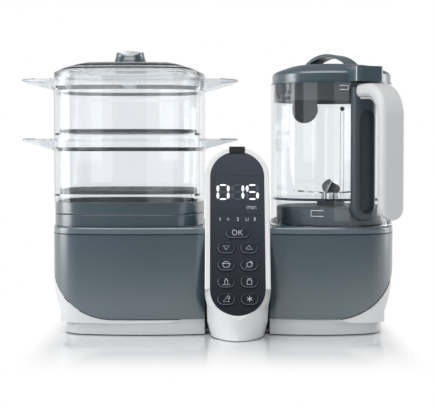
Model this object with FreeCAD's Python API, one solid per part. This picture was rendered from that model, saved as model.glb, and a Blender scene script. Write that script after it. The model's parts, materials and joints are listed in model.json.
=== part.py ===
import FreeCAD, Part
import math
import os

os.makedirs("parts", exist_ok=True)
V = FreeCAD.Vector

# Sizes in millimetres. X runs left to right, the front faces minus Y, Z is up.

# Fits
wall = 2.6                # housing wall
seam_gap = 0.2            # between fixed mouldings
lift_gap = 0.3            # between pieces that lift apart
slide_gap = 0.4           # round a piece that slides
shaft_gap = 0.05          # radial, on every shaft

# Base
centre_gap = 66.0         # clear width between the two halves
left_width = 160.3
left_depth = 180.0
right_width = 131.0
right_depth = 136.0
body_corner = 34.0        # plan corner radius
body_crown = 5.0          # bulge of the front, back and outer faces
inner_runoff = 24.0       # part of the plan outline cut off at the inner face
floor_gap = 1.2           # underside of the foot above the table
foot_height = 11.3
foot_setback = 12.0       # outer end of the foot inside the body outline
foot_recess = 0.8         # front of the foot inside the body outline
foot_corner = 28.0
pan_floor = 3.0
strip_height = 4.0        # white strip between the foot and the slate shell
housing_height = 85.5
deck_height = 7.0
deck_plate = 3.0
deck_round = 2.5
seam_inset = 0.9          # depth of the groove under the deck
seam_height = 0.8
arc_top = 80.0            # where the seam arc leaves the outer face
arc_run = 66.0
arc_sag = 18.0
flank_inset = 14.0        # taper of the cradle's outer face
flank_bow = 2.6
flank_foot = 24.0
flank_lead = 3.0          # start of the taper above the seam arc
left_block = 36.0         # raised part of the foot beside the panel
right_block = 82.0
block_slant = 14.0
cradle_rim = 12.0
rubber_radius = 8.0
rubber_sink = 1.5
rubber_inset = 26.0       # rubber foot centres inside the foot outline
screw_head = 3.2
screw_radius = 1.5
screw_bite = 14.0
boss_radius = 4.5
boss_inset = 30.0         # screw bosses from the front and back faces

# Steamer
steamer_offset = 113.4    # from the panel's centre line
basin_radius = 57.0
basin_depth = 25.0
basin_wall = 1.8
basin_lip = 4.0
plate_hole = 40.0
plate_lap = 5.0
plate_thick = 2.6
seal_thick = 1.4
heater_radius = 30.0
heater_tube = 4.0
heater_turn = 300.0
thermostat_radius = 11.0
thermostat_height = 10.0
band_half = 79.2          # half width of the two slate bands
band_wall = 3.0
collector_height = 12.0
collector_floor = 2.0
chimney_radius = 12.0
chimney_wall = 2.0
chimney_height = 19.0
ring_height = 12.0
basket_half_x = 80.2
basket_half_y = 82.0
basket_corner = 40.0
basket_crown = 4.0
basket_wall = 2.0
basket_height = 62.2
rim_height = 9.0          # upright part of the rim
rim_flare = 4.0
rim_rise = 2.8            # rim above the ledge for the next piece
ledge_height = 8.0        # top of the tray ledge above the basket's lower edge
ledge_width = 9.0
ledge_thick = 2.0
tray_margin = 4.0
tray_thick = 3.6
tray_hole = 3.2
tray_pitch = 19.0
tray_rows = 3             # rows of holes each side of the middle
wing_reach = 115.0        # tip of the wings from the steamer axis
wing_half = 46.0          # half width of a wing at its root
wing_drop = 3.6           # tip below the rim's top edge
wing_tip = 1.4
lid_wall = 2.0
lid_rim = 3.0
lid_profile = [(0.0, 0.0), (1.6, 3.4), (6.0, 8.6), (16.0, 14.6), (33.0, 19.2)]   # inset, rise
knob_radius = 17.2
knob_height = 9.0
knob_waist = 14.0
cap_radius = 14.0
cap_thick = 1.4

# Blender
jug_offset = 99.7         # from the panel's centre line
jug_half = 63.0
jug_corner = 47.0
jug_crown = 3.0
jug_wall = 2.4
jug_height = 145.8
jug_floor = 2.6
skirt_height = 26.0       # jug floor's underside above the jug's foot
skirt_flare = 1.2
skirt_band = 6.0
holder_inset = 6.0
holder_height = 18.8
holder_lift = 0.8         # holder above the jug's lower edge
hub_radius = 14.5
coupling_radius = 15.0
coupling_thick = 5.0
coupling_room = 3.0       # radial room round the coupling
peg_radius = 2.4
peg_circle = 9.5
peg_height = 4.0
peg_count = 4
spindle_radius = 4.0
cone_radius = 10.0
cone_height = 9.0
blade_length = 40.0
blade_width = 11.0
blade_thick = 1.6
blade_tilt = 24.0
blade_dip = 4.0
jug_lid_wall = 9.0        # upright side of the lid
jug_lid_step = 1.2        # lid wall inside the jug's outline
jug_lid_profile = [(0.0, 0.0), (2.0, 2.6), (7.0, 5.2), (15.0, 8.0), (26.0, 10.4), (37.0, 11.6)]   # inset, rise
jug_lid_plate = 3.0
lid_skirt_height = 18.0
lid_skirt_wall = 2.2
flap_half = 14.5          # spout flap
flap_drop = 21.0
arch_half = 27.0          # arched knob on the lid
arch_rise = 11.0
arch_depth = 24.0
arch_thick = 3.4
arch_sink = 1.6
arch_turn = 55.0          # from +X towards the back
handle_turn = 65.5        # from +X towards the front
column_width = 26.0
column_thick = 10.0
column_top = 5.0          # below the jug's upper edge
column_foot = 6.0         # above the jug's lower edge
column_round = 8.0
channel_width = 17.0
channel_depth = 5.0
channel_length = 104.0
lid_block_width = 31.0
lid_block_reach = 17.0
lid_block_height = 15.0
grip_radius = 122.5       # outer face from the jug axis
grip_thick = 13.0
grip_width = 26.0
grip_round = 5.0
grip_bend = 34.0          # outer bend at the top
grip_top = 2.5            # below the jug's upper edge
grip_length = 134.0
liner_thick = 2.0
liner_width = 20.0

# Motor
motor_radius = 30.0
motor_height = 60.0
motor_wall = 2.0
motor_drop = 6.0          # top of the motor below the deck's seam
shaft_radius = 3.0
bearing_radius = 8.0
bearing_width = 5.0
core_radius = 20.0
core_gap = 6.0
core_height = 36.0
fan_radius = 22.0
fan_height = 8.0
fan_hub = 7.0
fan_plate = 1.6
fan_blades = 8
fan_gap = 2.0             # fan below the motor

# Control panel
panel_lean = 22.0
face_ahead = 38.0         # lower end of the face in front of the bodies
face_low = 25.8
face_half = 27.25
face_length = 172.0
bezel_border = 5.25
panel_thick = 16.0
bezel_seam = 27.0
bezel_round = 1.5
stand_pocket = 11.0
face_sink = 0.6
facia_thick = 3.0
face_ledge = 1.6
back_thick = 1.8
board_thick = 1.6
board_sink = 7.0
board_low = 10.0
window_low = 104.0
window_high = 146.0
window_half = 23.5
window_thick = 1.2
clip_half = 8.0
clip_length = 5.0
clip_thick = 3.4
clip_gap = 0.5
button_low = 16.7
button_pitch = 17.5
button_column = 11.4
button_half_u = 9.0
button_half_v = 6.1
button_proud = 0.5
button_flange = 1.0
flange_thick = 1.2
stem_radius = 1.6
stem_length = 0.8
ok_height = 84.8
ok_half_u = 12.3
ok_half_v = 5.6
prow_reach = 41.0         # tip of the panel's foot in front of the bodies
prow_clear = 0.8
prow_half = 27.0
prow_waist = 32.6
prow_bulge = 7.0
prow_side = 6.0            # where the foot's sides start to close in
prow_back = 20.0
column_depth = 96.0
column_room = 0.6
z_overhang = 16.0         # underside of the column's sloping front

# Electrics
inlet_width = 24.0
inlet_height = 17.0
inlet_depth = 14.0
inlet_flange = 3.0
inlet_socket = 3.2        # rim round the socket
inlet_level = 40.0
pin_radius = 1.5
pin_offset = 4.0
power_length = 70.0
power_width = 46.0
power_thick = 1.6
post_height = 6.0
post_radius = 3.0

# Levels
z_pan = floor_gap + pan_floor
z_foot = floor_gap + foot_height
z_shell = z_foot + strip_height
z_seam = z_shell + housing_height
z_deck = z_seam + deck_height
z_collector = z_deck + lift_gap
z_ring = z_collector + collector_height + seam_gap
z_basket = z_ring + ring_height + lift_gap
basket_pitch = basket_height + lift_gap
z_lid = z_basket + 2 * basket_pitch
z_jug = z_deck + lift_gap
z_jug_floor = z_jug + skirt_height
z_jug_top = z_jug + jug_height

# Places, measured from the panel's centre line, then centred on the whole outline
turn = math.radians(handle_turn)
grip_corner = grip_width / 2 - grip_round
grip_face = grip_radius - grip_round
grip_right = jug_offset + grip_face * math.cos(turn) + grip_corner * math.sin(turn) + grip_round
grip_ahead = (grip_face * math.sin(turn) + grip_corner * math.cos(turn) + grip_round
              - right_depth / 2)
right_reach = max(centre_gap / 2 + right_width, jug_offset + jug_half + skirt_flare, grip_right)
left_reach = max(steamer_offset + wing_reach, centre_gap / 2 + left_width)
front_reach = max(prow_reach, grip_ahead)
x_panel = (left_reach - right_reach) / 2
y_front = front_reach - (front_reach + max(left_depth, right_depth)) / 2
x_left_inner = x_panel - centre_gap / 2
x_left_outer = x_left_inner - left_width
x_right_inner = x_panel + centre_gap / 2
x_right_outer = x_right_inner + right_width
x_steam = x_panel - steamer_offset
y_steam = y_front + left_depth / 2
x_jug = x_panel + jug_offset
y_jug = y_front + right_depth / 2
reach = left_depth + right_depth          # longer than any cut needs


# Outline with bowed sides and round corners, all arcs tangent
class Plan:
    def __init__(self, x, y, half_x, half_y, corner, crown):
        self.x = x
        self.y = y
        self.half_x = half_x
        self.half_y = half_y
        self.corner = corner
        self.crown = crown

    def grown(self, by):
        return Plan(self.x, self.y, self.half_x + by, self.half_y + by, self.corner + by, self.crown)

    def wire(self, z):
        cx = self.half_x - self.corner - self.crown
        cy = self.half_y - self.corner - self.crown
        square = cx * cx + cy * cy
        kx = (square - (self.half_x - self.corner) ** 2) / (2 * self.crown)
        ky = (square - (self.half_y - self.corner) ** 2) / (2 * self.crown)
        to_side = V(cx + kx, cy, 0).normalize()
        to_end = V(cx, cy + ky, 0).normalize()
        centre = V(cx, cy, 0)
        a = centre + to_side * self.corner
        m = centre + (to_side + to_end).normalize() * self.corner
        b = centre + to_end * self.corner

        def at(point, sx, sy):
            return V(self.x + sx * point.x, self.y + sy * point.y, z)

        side = V(self.half_x, 0, 0)
        end = V(0, self.half_y, 0)
        corners = [
            (at(a, 1, 1), at(m, 1, 1), at(b, 1, 1)),
            (at(b, 1, 1), at(end, 1, 1), at(b, -1, 1)),
            (at(b, -1, 1), at(m, -1, 1), at(a, -1, 1)),
            (at(a, -1, 1), at(side, -1, 1), at(a, -1, -1)),
            (at(a, -1, -1), at(m, -1, -1), at(b, -1, -1)),
            (at(b, -1, -1), at(end, 1, -1), at(b, 1, -1)),
            (at(b, 1, -1), at(m, 1, -1), at(a, 1, -1)),
            (at(a, 1, -1), at(side, 1, 1), at(a, 1, 1)),
        ]
        return Part.Wire([Part.Arc(*points).toShape() for points in corners])

    def prism(self, z0, z1):
        return Part.Face(self.wire(z0)).extrude(V(0, 0, z1 - z0))

    def tube(self, thick, z0, z1):
        return self.prism(z0, z1).cut(self.grown(-thick).prism(z0 - wall, z1 + wall))

    # Solid through outlines that step in and rise
    def dome(self, profile, z0):
        wires = [self.grown(-inset).wire(z0 + rise) for inset, rise in profile]
        return Part.makeLoft(wires, True)


def box(x0, x1, y0, y1, z0, z1):
    return Part.makeBox(x1 - x0, y1 - y0, z1 - z0, V(x0, y0, z0))


def rod(x, y, z0, z1, radius):
    return Part.makeCylinder(radius, z1 - z0, V(x, y, z0))


def pipe(x, y, z0, z1, outer, inner):
    return rod(x, y, z0, z1, outer).cut(rod(x, y, z0 - wall, z1 + wall, inner))


def fuse(shapes):
    return shapes[0].multiFuse(shapes[1:]).removeSplitter()


def line(a, b):
    return Part.LineSegment(a, b).toShape()


# Prism along Y from points in the XZ plane; three points in a row in a tuple are an arc
def across(steps):
    edges = []
    for step in steps:
        points = [V(x, -reach, z) for x, z in step]
        if len(points) == 3:
            edges.append(Part.Arc(*points).toShape())
        else:
            edges.append(line(*points))
    return Part.Face(Part.Wire(edges)).extrude(V(0, 2 * reach, 0))


# Round the horizontal edges of a solid at one level
def rounded(shape, z, radius):
    edges = [e for e in shape.Edges if abs(e.BoundBox.ZMin - z) < 0.01 and abs(e.BoundBox.ZMax - z) < 0.01]
    return shape.makeFillet(radius, edges)


# One half of the base. Side is -1 for the steamer half and 1 for the blender half.
class Half:
    def __init__(self, side, inner, outer, depth, block):
        self.side = side
        self.inner = inner
        self.outer = outer
        self.block = block
        self.back = y_front + depth
        half_x = (abs(outer - inner) + inner_runoff) / 2
        self.plan = Plan(outer - side * half_x, y_front + depth / 2, half_x, depth / 2,
                         body_corner, body_crown)
        half_foot = half_x - foot_setback / 2
        self.foot = Plan(outer - side * (foot_setback + half_foot), self.plan.y, half_foot,
                         depth / 2 - foot_recess, foot_corner, body_crown)

    # Cut off what lies past the inner face
    def trim(self, shape, by=0.0):
        edge = self.inner + self.side * by
        x0, x1 = sorted([edge, edge - self.side * reach])
        return shape.cut(box(x0, x1, -reach, reach, -reach, 2 * reach))

    # Points of the seam arc, moved inwards by an amount
    def seam(self, by):
        a = V(self.outer, 0, arc_top)
        b = V(self.outer - self.side * arc_run, 0, z_shell)
        chord = (b - a).Length
        radius = (chord ** 2 / 4 + arc_sag ** 2) / (2 * arc_sag)
        middle = (a + b) / 2
        outward = V(self.outer, 0, z_shell) - middle
        square = (b - a) / chord
        outward = (outward - square * outward.dot(square)).normalize()
        centre = middle - outward * (radius - arc_sag)
        points = [centre + (p - centre).normalize() * (radius - by)
                  for p in (a, centre + outward, b)]
        return [(p.x, p.z) for p in points]

    # Corner below the seam arc
    def corner(self, by):
        a, m, b = self.seam(by)
        far = self.outer + self.side * wall * 4
        low = -wall
        return across([(a, m, b), (b, (b[0], low)), ((b[0], low), (far, low)),
                       ((far, low), (far, a[1])), ((far, a[1]), a)])

    # Space outside the cradle's tapered flank
    def flank(self, by):
        s = self.side
        a = (self.outer - s * by, arc_top + flank_lead)
        b = (self.outer - s * (flank_inset + by), flank_foot)
        m = ((a[0] + b[0]) / 2 + s * flank_bow, (a[1] + b[1]) / 2 - flank_bow)
        far = self.outer + s * wall * 4
        low = -wall
        return across([(a, m, b), (b, (b[0], low)), ((b[0], low), (far, low)),
                       ((far, low), (far, a[1])), ((far, a[1]), a)])

    # Slanted prism of the raised block beside the panel
    def slant(self, by):
        s = self.side
        near = self.inner - s * wall
        foot = self.inner + s * (self.block + by)
        top = foot - s * block_slant
        return across([((near, z_foot), (foot, z_foot)), ((foot, z_foot), (top, z_shell)),
                       ((top, z_shell), (near, z_shell)), ((near, z_shell), (near, z_foot))])

    def housing(self):
        shell = self.trim(self.plan.prism(z_shell, z_seam)).cut(self.corner(0))
        room = self.trim(self.plan.grown(-wall).prism(z_shell - wall, z_seam + wall), wall)
        shell = shell.cut(room.cut(self.corner(wall)))
        posts = []
        holes = []
        for x, y in self.bosses():
            posts.append(rod(x, y, z_pan, z_seam - deck_plate, boss_radius))
            posts.append(box(*sorted([self.inner + self.side * wall / 2, x]), y - wall / 2, y + wall / 2,
                             z_shell, z_seam - deck_plate))
            holes.append(rod(x, y, z_pan - wall, z_pan + screw_bite, screw_radius))
        return fuse([shell] + posts).cut(Part.makeCompound(holes))

    # Screw bosses stand clear of the foot's wall, on ribs of the inner face
    def bosses(self):
        x = self.inner + self.side * (wall + slide_gap + boss_radius)
        return [(x, y_front + boss_inset), (x, self.back - boss_inset)]

    def cradle(self):
        block = self.slant(seam_gap)
        body = self.trim(self.plan.prism(z_foot, arc_top)).cut(self.flank(0))
        strip = body.common(box(-2 * reach, 2 * reach, -reach, reach, z_foot, z_shell - seam_gap))
        x_join = self.seam(-seam_gap)[2][0] + self.side * wall
        x0, x1 = sorted([x_join, x_join - self.side * reach])
        strip = strip.common(box(x0, x1, -reach, reach, 0, arc_top))
        strip = strip.cut(self.plan.grown(-cradle_rim).prism(0, arc_top))
        wedge = body.common(self.corner(-seam_gap))
        room = self.plan.grown(-wall).prism(z_foot - wall, arc_top)
        room = room.common(self.corner(-seam_gap - wall)).cut(self.flank(wall))
        inner_box = box(*sorted([self.inner, self.inner + self.side * (self.block - block_slant)]),
                        -reach, reach, 0, arc_top)
        parts = [shape.cut([block, inner_box]) for shape in (wedge.cut(room), strip)]
        return fuse([shape for shape in parts if shape.Solids])

    def pan(self):
        body = self.trim(self.foot.prism(floor_gap, z_foot))
        room = self.trim(self.foot.grown(-wall).prism(z_pan, z_shell + wall), wall)
        raised = self.trim(self.plan.grown(-foot_recess).prism(z_foot, z_shell - seam_gap))
        raised = raised.common(self.slant(0))
        return fuse([body, raised]).cut(room)

    def deck(self):
        top = self.trim(self.plan.prism(z_seam + seam_height, z_deck))
        top = rounded(top, z_deck, deck_round)
        neck = self.trim(self.plan.grown(-seam_inset).prism(z_seam, z_seam + seam_height), seam_inset)
        plug = self.trim(self.plan.grown(-wall - seam_gap).prism(z_seam - deck_plate, z_seam),
                         wall + seam_gap)
        room = self.trim(self.plan.grown(-2 * wall - seam_gap)
                         .prism(z_seam - 2 * deck_plate, z_deck - deck_plate), 2 * wall + seam_gap)
        return fuse([top, neck, plug]).cut(room)

    def feet(self):
        dx = self.foot.half_x - rubber_inset
        dy = self.foot.half_y - rubber_inset
        outer = self.foot.x + self.side * dx
        near = self.inner + self.side * rubber_inset
        return [(x, self.foot.y + sy * dy) for x in (outer, near) for sy in (-1, 1)]


left = Half(-1, x_left_inner, x_left_outer, left_depth, left_block)
right = Half(1, x_right_inner, x_right_outer, right_depth, right_block)
pieces = {}


# Steps of a closed polygon
def closed(points):
    return list(zip(points, points[1:] + points[:1]))


# Prism along X from points in the YZ plane
def lengthwise(x0, x1, points):
    corners = [V(x0, y, z) for y, z in points]
    return Part.Face(Part.makePolygon(corners + corners[:1])).extrude(V(x1 - x0, 0, 0))


# Foot, feet and screws
y_strip = y_front + prow_back + column_room
y_strip_back = y_strip + column_depth
x_power = x_steam
y_power = y_steam + left_depth / 4
power_posts = [(x_power + sx * (power_length / 2 - 2 * post_radius),
                y_power + sy * (power_width / 2 - 2 * post_radius))
               for sx in (-1, 1) for sy in (-1, 1)]
rubber_places = left.feet() + right.feet()
screw_places = left.bosses() + right.bosses()
screw_seat = floor_gap + rubber_sink


def base_pan():
    strip = box(x_left_inner - wall, x_right_inner + wall, y_strip, y_strip_back, floor_gap, z_pan)
    posts = [rod(x, y, floor_gap + seam_gap, z_pan + post_height, post_radius) for x, y in power_posts]
    pan = fuse([left.pan(), right.pan(), strip] + posts)
    holes = [rod(x, y, 0, screw_seat, rubber_radius + seam_gap) for x, y in rubber_places]
    for x, y in screw_places:
        holes.append(rod(x, y, 0, screw_seat, screw_head + seam_gap))
        holes.append(rod(x, y, 0, z_pan + wall, screw_radius + seam_gap))
    return pan.cut(Part.makeCompound(holes))


def rubber_feet():
    feet = [rod(x, y, 0, screw_seat, rubber_radius) for x, y in rubber_places]
    return Part.makeCompound([rounded(foot, 0, floor_gap / 2) for foot in feet])


def base_screws():
    screws = []
    for x, y in screw_places:
        head = rod(x, y, floor_gap, screw_seat, screw_head)
        shank = rod(x, y, screw_seat - seam_gap, z_pan + screw_bite - lift_gap, screw_radius - shaft_gap)
        screws.append(fuse([head, shank]))
    return Part.makeCompound(screws)


pieces["base_pan"] = base_pan()
pieces["rubber_feet"] = rubber_feet()
pieces["base_screws"] = base_screws()
pieces["left_cradle"] = left.cradle()
pieces["right_cradle"] = right.cradle()


# Mains inlet in the back of the steamer half
y_back = y_front + left_depth
x_inlet = left.plan.x
z_inlet = z_shell + inlet_level


def inlet_box(grow, y0, y1):
    return box(x_inlet - inlet_width / 2 - grow, x_inlet + inlet_width / 2 + grow, y0, y1,
               z_inlet - inlet_height / 2 - grow, z_inlet + inlet_height / 2 + grow)


def cord_inlet():
    y_seat = y_back - wall - slide_gap
    body = inlet_box(0, y_back - inlet_depth, y_back)
    flange = inlet_box(inlet_flange, y_seat - wall, y_seat)
    socket = inlet_box(-inlet_socket, y_back - inlet_depth + wall, y_back + wall)
    y_pin = y_back - inlet_depth + wall / 2
    pins = [Part.makeCylinder(pin_radius, inlet_depth - 2 * wall, V(x_inlet + s * pin_offset, y_pin, z_inlet), V(0, 1, 0))
            for s in (-1, 1)]
    return fuse([fuse([body, flange]).cut(socket)] + pins)


pieces["cord_inlet"] = cord_inlet()
pieces["left_housing"] = left.housing().cut(inlet_box(seam_gap, y_back - 2 * wall, y_back + wall))
pieces["right_housing"] = right.housing()
pieces["power_board"] = box(x_power - power_length / 2, x_power + power_length / 2,
                            y_power - power_width / 2, y_power + power_width / 2,
                            z_pan + post_height, z_pan + post_height + power_thick)


# Decks
coupling_well = coupling_radius + coupling_room
motor_top = z_seam - motor_drop
motor_low = motor_top - motor_height


def left_deck():
    deck = left.deck()
    seat = pipe(x_steam, y_steam, z_seam, z_deck - deck_round, basin_radius + basin_lip + wall, basin_radius)
    deck = fuse([deck, seat])
    lip_radius = basin_radius + basin_lip + seam_gap
    deck = deck.cut(rod(x_steam, y_steam, z_seam - wall, z_deck + wall, basin_radius + seam_gap))
    return deck.cut(rod(x_steam, y_steam, z_deck - basin_wall, z_deck + wall, lip_radius))


def right_deck():
    deck = right.deck()
    well = pipe(x_jug, y_jug, motor_top, z_deck - deck_round, coupling_well + wall, coupling_well)
    return fuse([deck, well]).cut(rod(x_jug, y_jug, motor_low, z_deck + wall, coupling_well))


pieces["left_deck"] = left_deck()
pieces["right_deck"] = right_deck()

# Water basin and heater
z_basin = z_deck - basin_depth
z_plate = z_basin - seal_thick - plate_thick


def boiler_basin():
    lip = rod(x_steam, y_steam, z_deck - basin_wall, z_deck, basin_radius + basin_lip)
    cup = rod(x_steam, y_steam, z_basin, z_deck, basin_radius)
    room = rod(x_steam, y_steam, z_basin + basin_wall, z_deck + wall, basin_radius - basin_wall)
    room = rounded(room, z_basin + basin_wall, basin_lip)
    cup = rounded(cup, z_basin, basin_lip + basin_wall)
    hole = rod(x_steam, y_steam, z_basin - wall, z_deck, plate_hole)
    return fuse([lip, cup]).cut(room).cut(hole)


def heater_ring():
    z = z_plate - heater_tube
    start = V(x_steam + heater_radius, y_steam, z)
    axis = V(0, 0, 1)
    tube = Part.Face(Part.Wire(Part.makeCircle(heater_tube, start, V(0, 1, 0))))
    return tube.revolve(V(x_steam, y_steam, z), axis, heater_turn)


pieces["boiler_basin"] = boiler_basin()
pieces["basin_seal"] = pipe(x_steam, y_steam, z_basin - seal_thick, z_basin, plate_hole + plate_lap, plate_hole)
pieces["heating_plate"] = rod(x_steam, y_steam, z_plate, z_basin - seal_thick, plate_hole + plate_lap)
pieces["heater_ring"] = heater_ring()
pieces["thermostat"] = rod(x_steam, y_steam, z_plate - thermostat_height, z_plate, thermostat_radius)

# Motor, hung under the well of the right deck
core_low = motor_low + (motor_height - core_height) / 2


def motor_can():
    can = rod(x_jug, y_jug, motor_low, motor_top, motor_radius)
    room = rod(x_jug, y_jug, motor_low + motor_wall + bearing_width, motor_top - motor_wall - bearing_width,
               motor_radius - motor_wall)
    seat = rod(x_jug, y_jug, motor_low - wall, motor_top + wall, bearing_radius)
    ends = [rod(x_jug, y_jug, motor_low - wall, motor_low + motor_wall, bearing_radius - motor_wall),
            rod(x_jug, y_jug, motor_top - motor_wall, motor_top + wall, bearing_radius - motor_wall)]
    lips = [rod(x_jug, y_jug, motor_low, motor_low + motor_wall, bearing_radius).cut(ends[0]),
            rod(x_jug, y_jug, motor_top - motor_wall, motor_top, bearing_radius).cut(ends[1])]
    poles = pipe(x_jug, y_jug, core_low, core_low + core_height, motor_radius - motor_wall / 2,
                 motor_radius - motor_wall - core_gap)
    return fuse([can.cut(room).cut(seat)] + lips + [poles])


def motor_bearings():
    low = motor_low + motor_wall
    high = motor_top - motor_wall - bearing_width
    return Part.makeCompound([pipe(x_jug, y_jug, z, z + bearing_width, bearing_radius - shaft_gap,
                                   shaft_radius + shaft_gap) for z in (low, high)])


z_fan = motor_low - fan_gap - fan_height
z_drive = z_deck - coupling_thick


def motor_rotor():
    shaft = rod(x_jug, y_jug, z_fan, z_deck - lift_gap, shaft_radius)
    core = rod(x_jug, y_jug, core_low, core_low + core_height, core_radius)
    return fuse([shaft, core])


def cooling_fan():
    hub = rod(x_jug, y_jug, z_fan, z_fan + fan_height, fan_hub)
    plate = rod(x_jug, y_jug, z_fan, z_fan + fan_plate, fan_radius)
    vane = box(x_jug + fan_hub - fan_plate, x_jug + fan_radius, y_jug - fan_plate / 2, y_jug + fan_plate / 2,
               z_fan, z_fan + fan_height)
    vanes = []
    for i in range(fan_blades):
        copy = vane.copy()
        copy.rotate(V(x_jug, y_jug, 0), V(0, 0, 1), i * 360.0 / fan_blades)
        vanes.append(copy)
    return fuse([hub, plate] + vanes).cut(rod(x_jug, y_jug, 0, z_deck, shaft_radius + shaft_gap))


# Places of the coupling pegs
def pegs(z0, z1, radius):
    places = []
    for i in range(peg_count):
        angle = 2 * math.pi * i / peg_count
        x = x_jug + peg_circle * math.cos(angle)
        y = y_jug + peg_circle * math.sin(angle)
        places.append(rod(x, y, z0, z1, radius))
    return places


z_driven = z_deck + 2 * lift_gap


def drive_coupling():
    disc = rod(x_jug, y_jug, z_drive, z_deck, coupling_radius)
    disc = disc.cut(rod(x_jug, y_jug, z_drive - wall, z_deck - lift_gap, shaft_radius + shaft_gap))
    return fuse([disc] + pegs(z_deck - lift_gap, z_driven + peg_height, peg_radius))


def driven_coupling():
    disc = rod(x_jug, y_jug, z_driven, z_driven + coupling_thick, coupling_radius)
    slots = pegs(z_driven - wall, z_driven + peg_height + lift_gap, peg_radius + slide_gap)
    return disc.cut(Part.makeCompound(slots))


pieces["motor_can"] = motor_can()
pieces["motor_bearings"] = motor_bearings()
pieces["motor_rotor"] = motor_rotor()
pieces["cooling_fan"] = cooling_fan()
pieces["drive_coupling"] = drive_coupling()
pieces["driven_coupling"] = driven_coupling()

# Steamer stack
band = Plan(x_steam, y_steam, band_half, band_half + basket_half_y - basket_half_x, basket_corner, basket_crown)
basket = Plan(x_steam, y_steam, basket_half_x, basket_half_y, basket_corner, basket_crown)


def juice_collector():
    bowl = band.prism(z_collector, z_collector + collector_height)
    bowl = rounded(bowl, z_collector + collector_height, collector_floor / 2)
    bowl = bowl.cut(band.grown(-band_wall).prism(z_collector + collector_floor, z_basket))
    return bowl.cut(rod(x_steam, y_steam, z_collector - wall, z_basket, chimney_radius - chimney_wall))


# Tube that stands on the collector's floor, round its hole
def steam_chimney():
    return pipe(x_steam, y_steam, z_collector + collector_floor, z_collector + chimney_height,
                chimney_radius, chimney_radius - chimney_wall)


def collector_ring():
    ring = band.prism(z_ring, z_ring + ring_height)
    ring = rounded(ring, z_ring, collector_floor / 2)
    return ring.cut(band.grown(-band_wall).prism(z_ring - wall, z_basket))


def wing(side, z):
    root = x_steam + side * (basket_half_x - basket_wall)
    tip = x_steam + side * wing_reach
    top = z + basket_height + rim_rise
    low = top - rim_height
    ends = [V(root, y_steam - wing_half, z), V(root, y_steam + wing_half, z)]
    edge = Part.Arc(ends[0], V(tip, y_steam, z), ends[1]).toShape()
    tongue = Part.Face(Part.Wire([edge, line(ends[1], ends[0])])).extrude(V(0, 0, top - z))
    face = [(root, low - rim_flare / 2), (root, top), (tip, top - wing_drop), (tip, top - wing_drop - wing_tip)]
    return tongue.common(across(closed(face)))


def steam_basket(z):
    top = z + basket_height + rim_rise
    low = top - rim_height
    body = basket.prism(z, top)
    flare = Part.makeLoft([basket.wire(low - rim_flare), basket.grown(rim_flare).wire(low)], True)
    rim = basket.grown(rim_flare).prism(low, top)
    body = fuse([body, flare, rim, wing(-1, z), wing(1, z)])
    body = body.cut(basket.grown(slide_gap).prism(z + basket_height, top + wall))
    body = body.cut(basket.grown(-basket_wall).prism(z - wall, top + wall))
    ledge = basket.grown(-basket_wall / 2).tube(ledge_width, z + ledge_height - ledge_thick, z + ledge_height)
    return fuse([body, ledge])


def hexagon(x, y, z0, z1, radius):
    points = [V(x + radius * math.cos(k * math.pi / 3), y + radius * math.sin(k * math.pi / 3), z0)
              for k in range(6)]
    return Part.Face(Part.makePolygon(points + points[:1])).extrude(V(0, 0, z1 - z0))


def steam_tray(z):
    seat = z + ledge_height + lift_gap
    plate = basket.grown(-basket_wall - tray_margin).prism(seat, seat + tray_thick)
    steps = [i * tray_pitch for i in range(-tray_rows, tray_rows + 1)]
    holes = [hexagon(x_steam + dx, y_steam + dy, seat - wall, seat + 2 * tray_thick, tray_hole)
             for dx in steps for dy in steps]
    return plate.cut(Part.makeCompound(holes))


z_dome = z_lid + lid_rim
z_knob = z_dome + lid_profile[-1][1]


def steam_lid():
    rim = basket.prism(z_lid, z_dome)
    dome = basket.dome(lid_profile, z_dome)
    room = basket.grown(-lid_wall).dome(lid_profile, z_dome - lid_wall)
    mouth = basket.grown(-lid_wall).prism(z_lid - wall, z_dome - lid_wall)
    return fuse([rim, dome]).cut(room).cut(mouth)


def steam_lid_knob():
    foot = V(x_steam, y_steam, z_knob)
    outline = [V(0, 0, 0), V(knob_waist, 0, 0), V(knob_radius, 0, knob_height / 2),
               V(knob_radius, 0, knob_height), V(0, 0, knob_height)]
    edges = [line(outline[0], outline[1]),
             Part.Arc(outline[1], V(knob_waist, 0, knob_height / 4), outline[2]).toShape(),
             line(outline[2], outline[3]), line(outline[3], outline[4]), line(outline[4], outline[0])]
    knob = Part.Face(Part.Wire(edges)).revolve(V(0, 0, 0), V(0, 0, 1), 360)
    knob.translate(foot)
    return rounded(knob, z_knob + knob_height, cap_thick)


pieces["juice_collector"] = juice_collector()
pieces["steam_chimney"] = steam_chimney()
pieces["collector_ring"] = collector_ring()
pieces["lower_basket"] = steam_basket(z_basket)
pieces["lower_tray"] = steam_tray(z_basket)
pieces["upper_basket"] = steam_basket(z_basket + basket_pitch)
pieces["upper_tray"] = steam_tray(z_basket + basket_pitch)
pieces["steam_lid"] = steam_lid()
pieces["steam_lid_knob"] = steam_lid_knob()
z_cap = z_knob + knob_height
cap = rod(x_steam, y_steam, z_cap, z_cap + cap_thick, cap_radius)
pieces["steam_knob_cap"] = rounded(cap, z_cap + cap_thick, cap_thick / 2)

# Jug
jug = Plan(x_jug, y_jug, jug_half, jug_half, jug_corner, jug_crown)
z_holder = z_jug + holder_lift
z_holder_top = z_holder + holder_height
z_hub = z_jug_floor + jug_floor + lift_gap
z_blade = z_hub + cone_height / 3
z_jug_lid = z_jug_top + lift_gap
z_lid_dome = z_jug_lid + jug_lid_wall
z_lid_top = z_lid_dome + jug_lid_profile[-1][1]


# Place a solid drawn round the jug axis, turned by an angle
def round_jug(shape, angle):
    placed = shape.copy()
    placed.rotate(V(0, 0, 0), V(0, 0, 1), angle)
    placed.translate(V(x_jug, y_jug, 0))
    return placed


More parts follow.
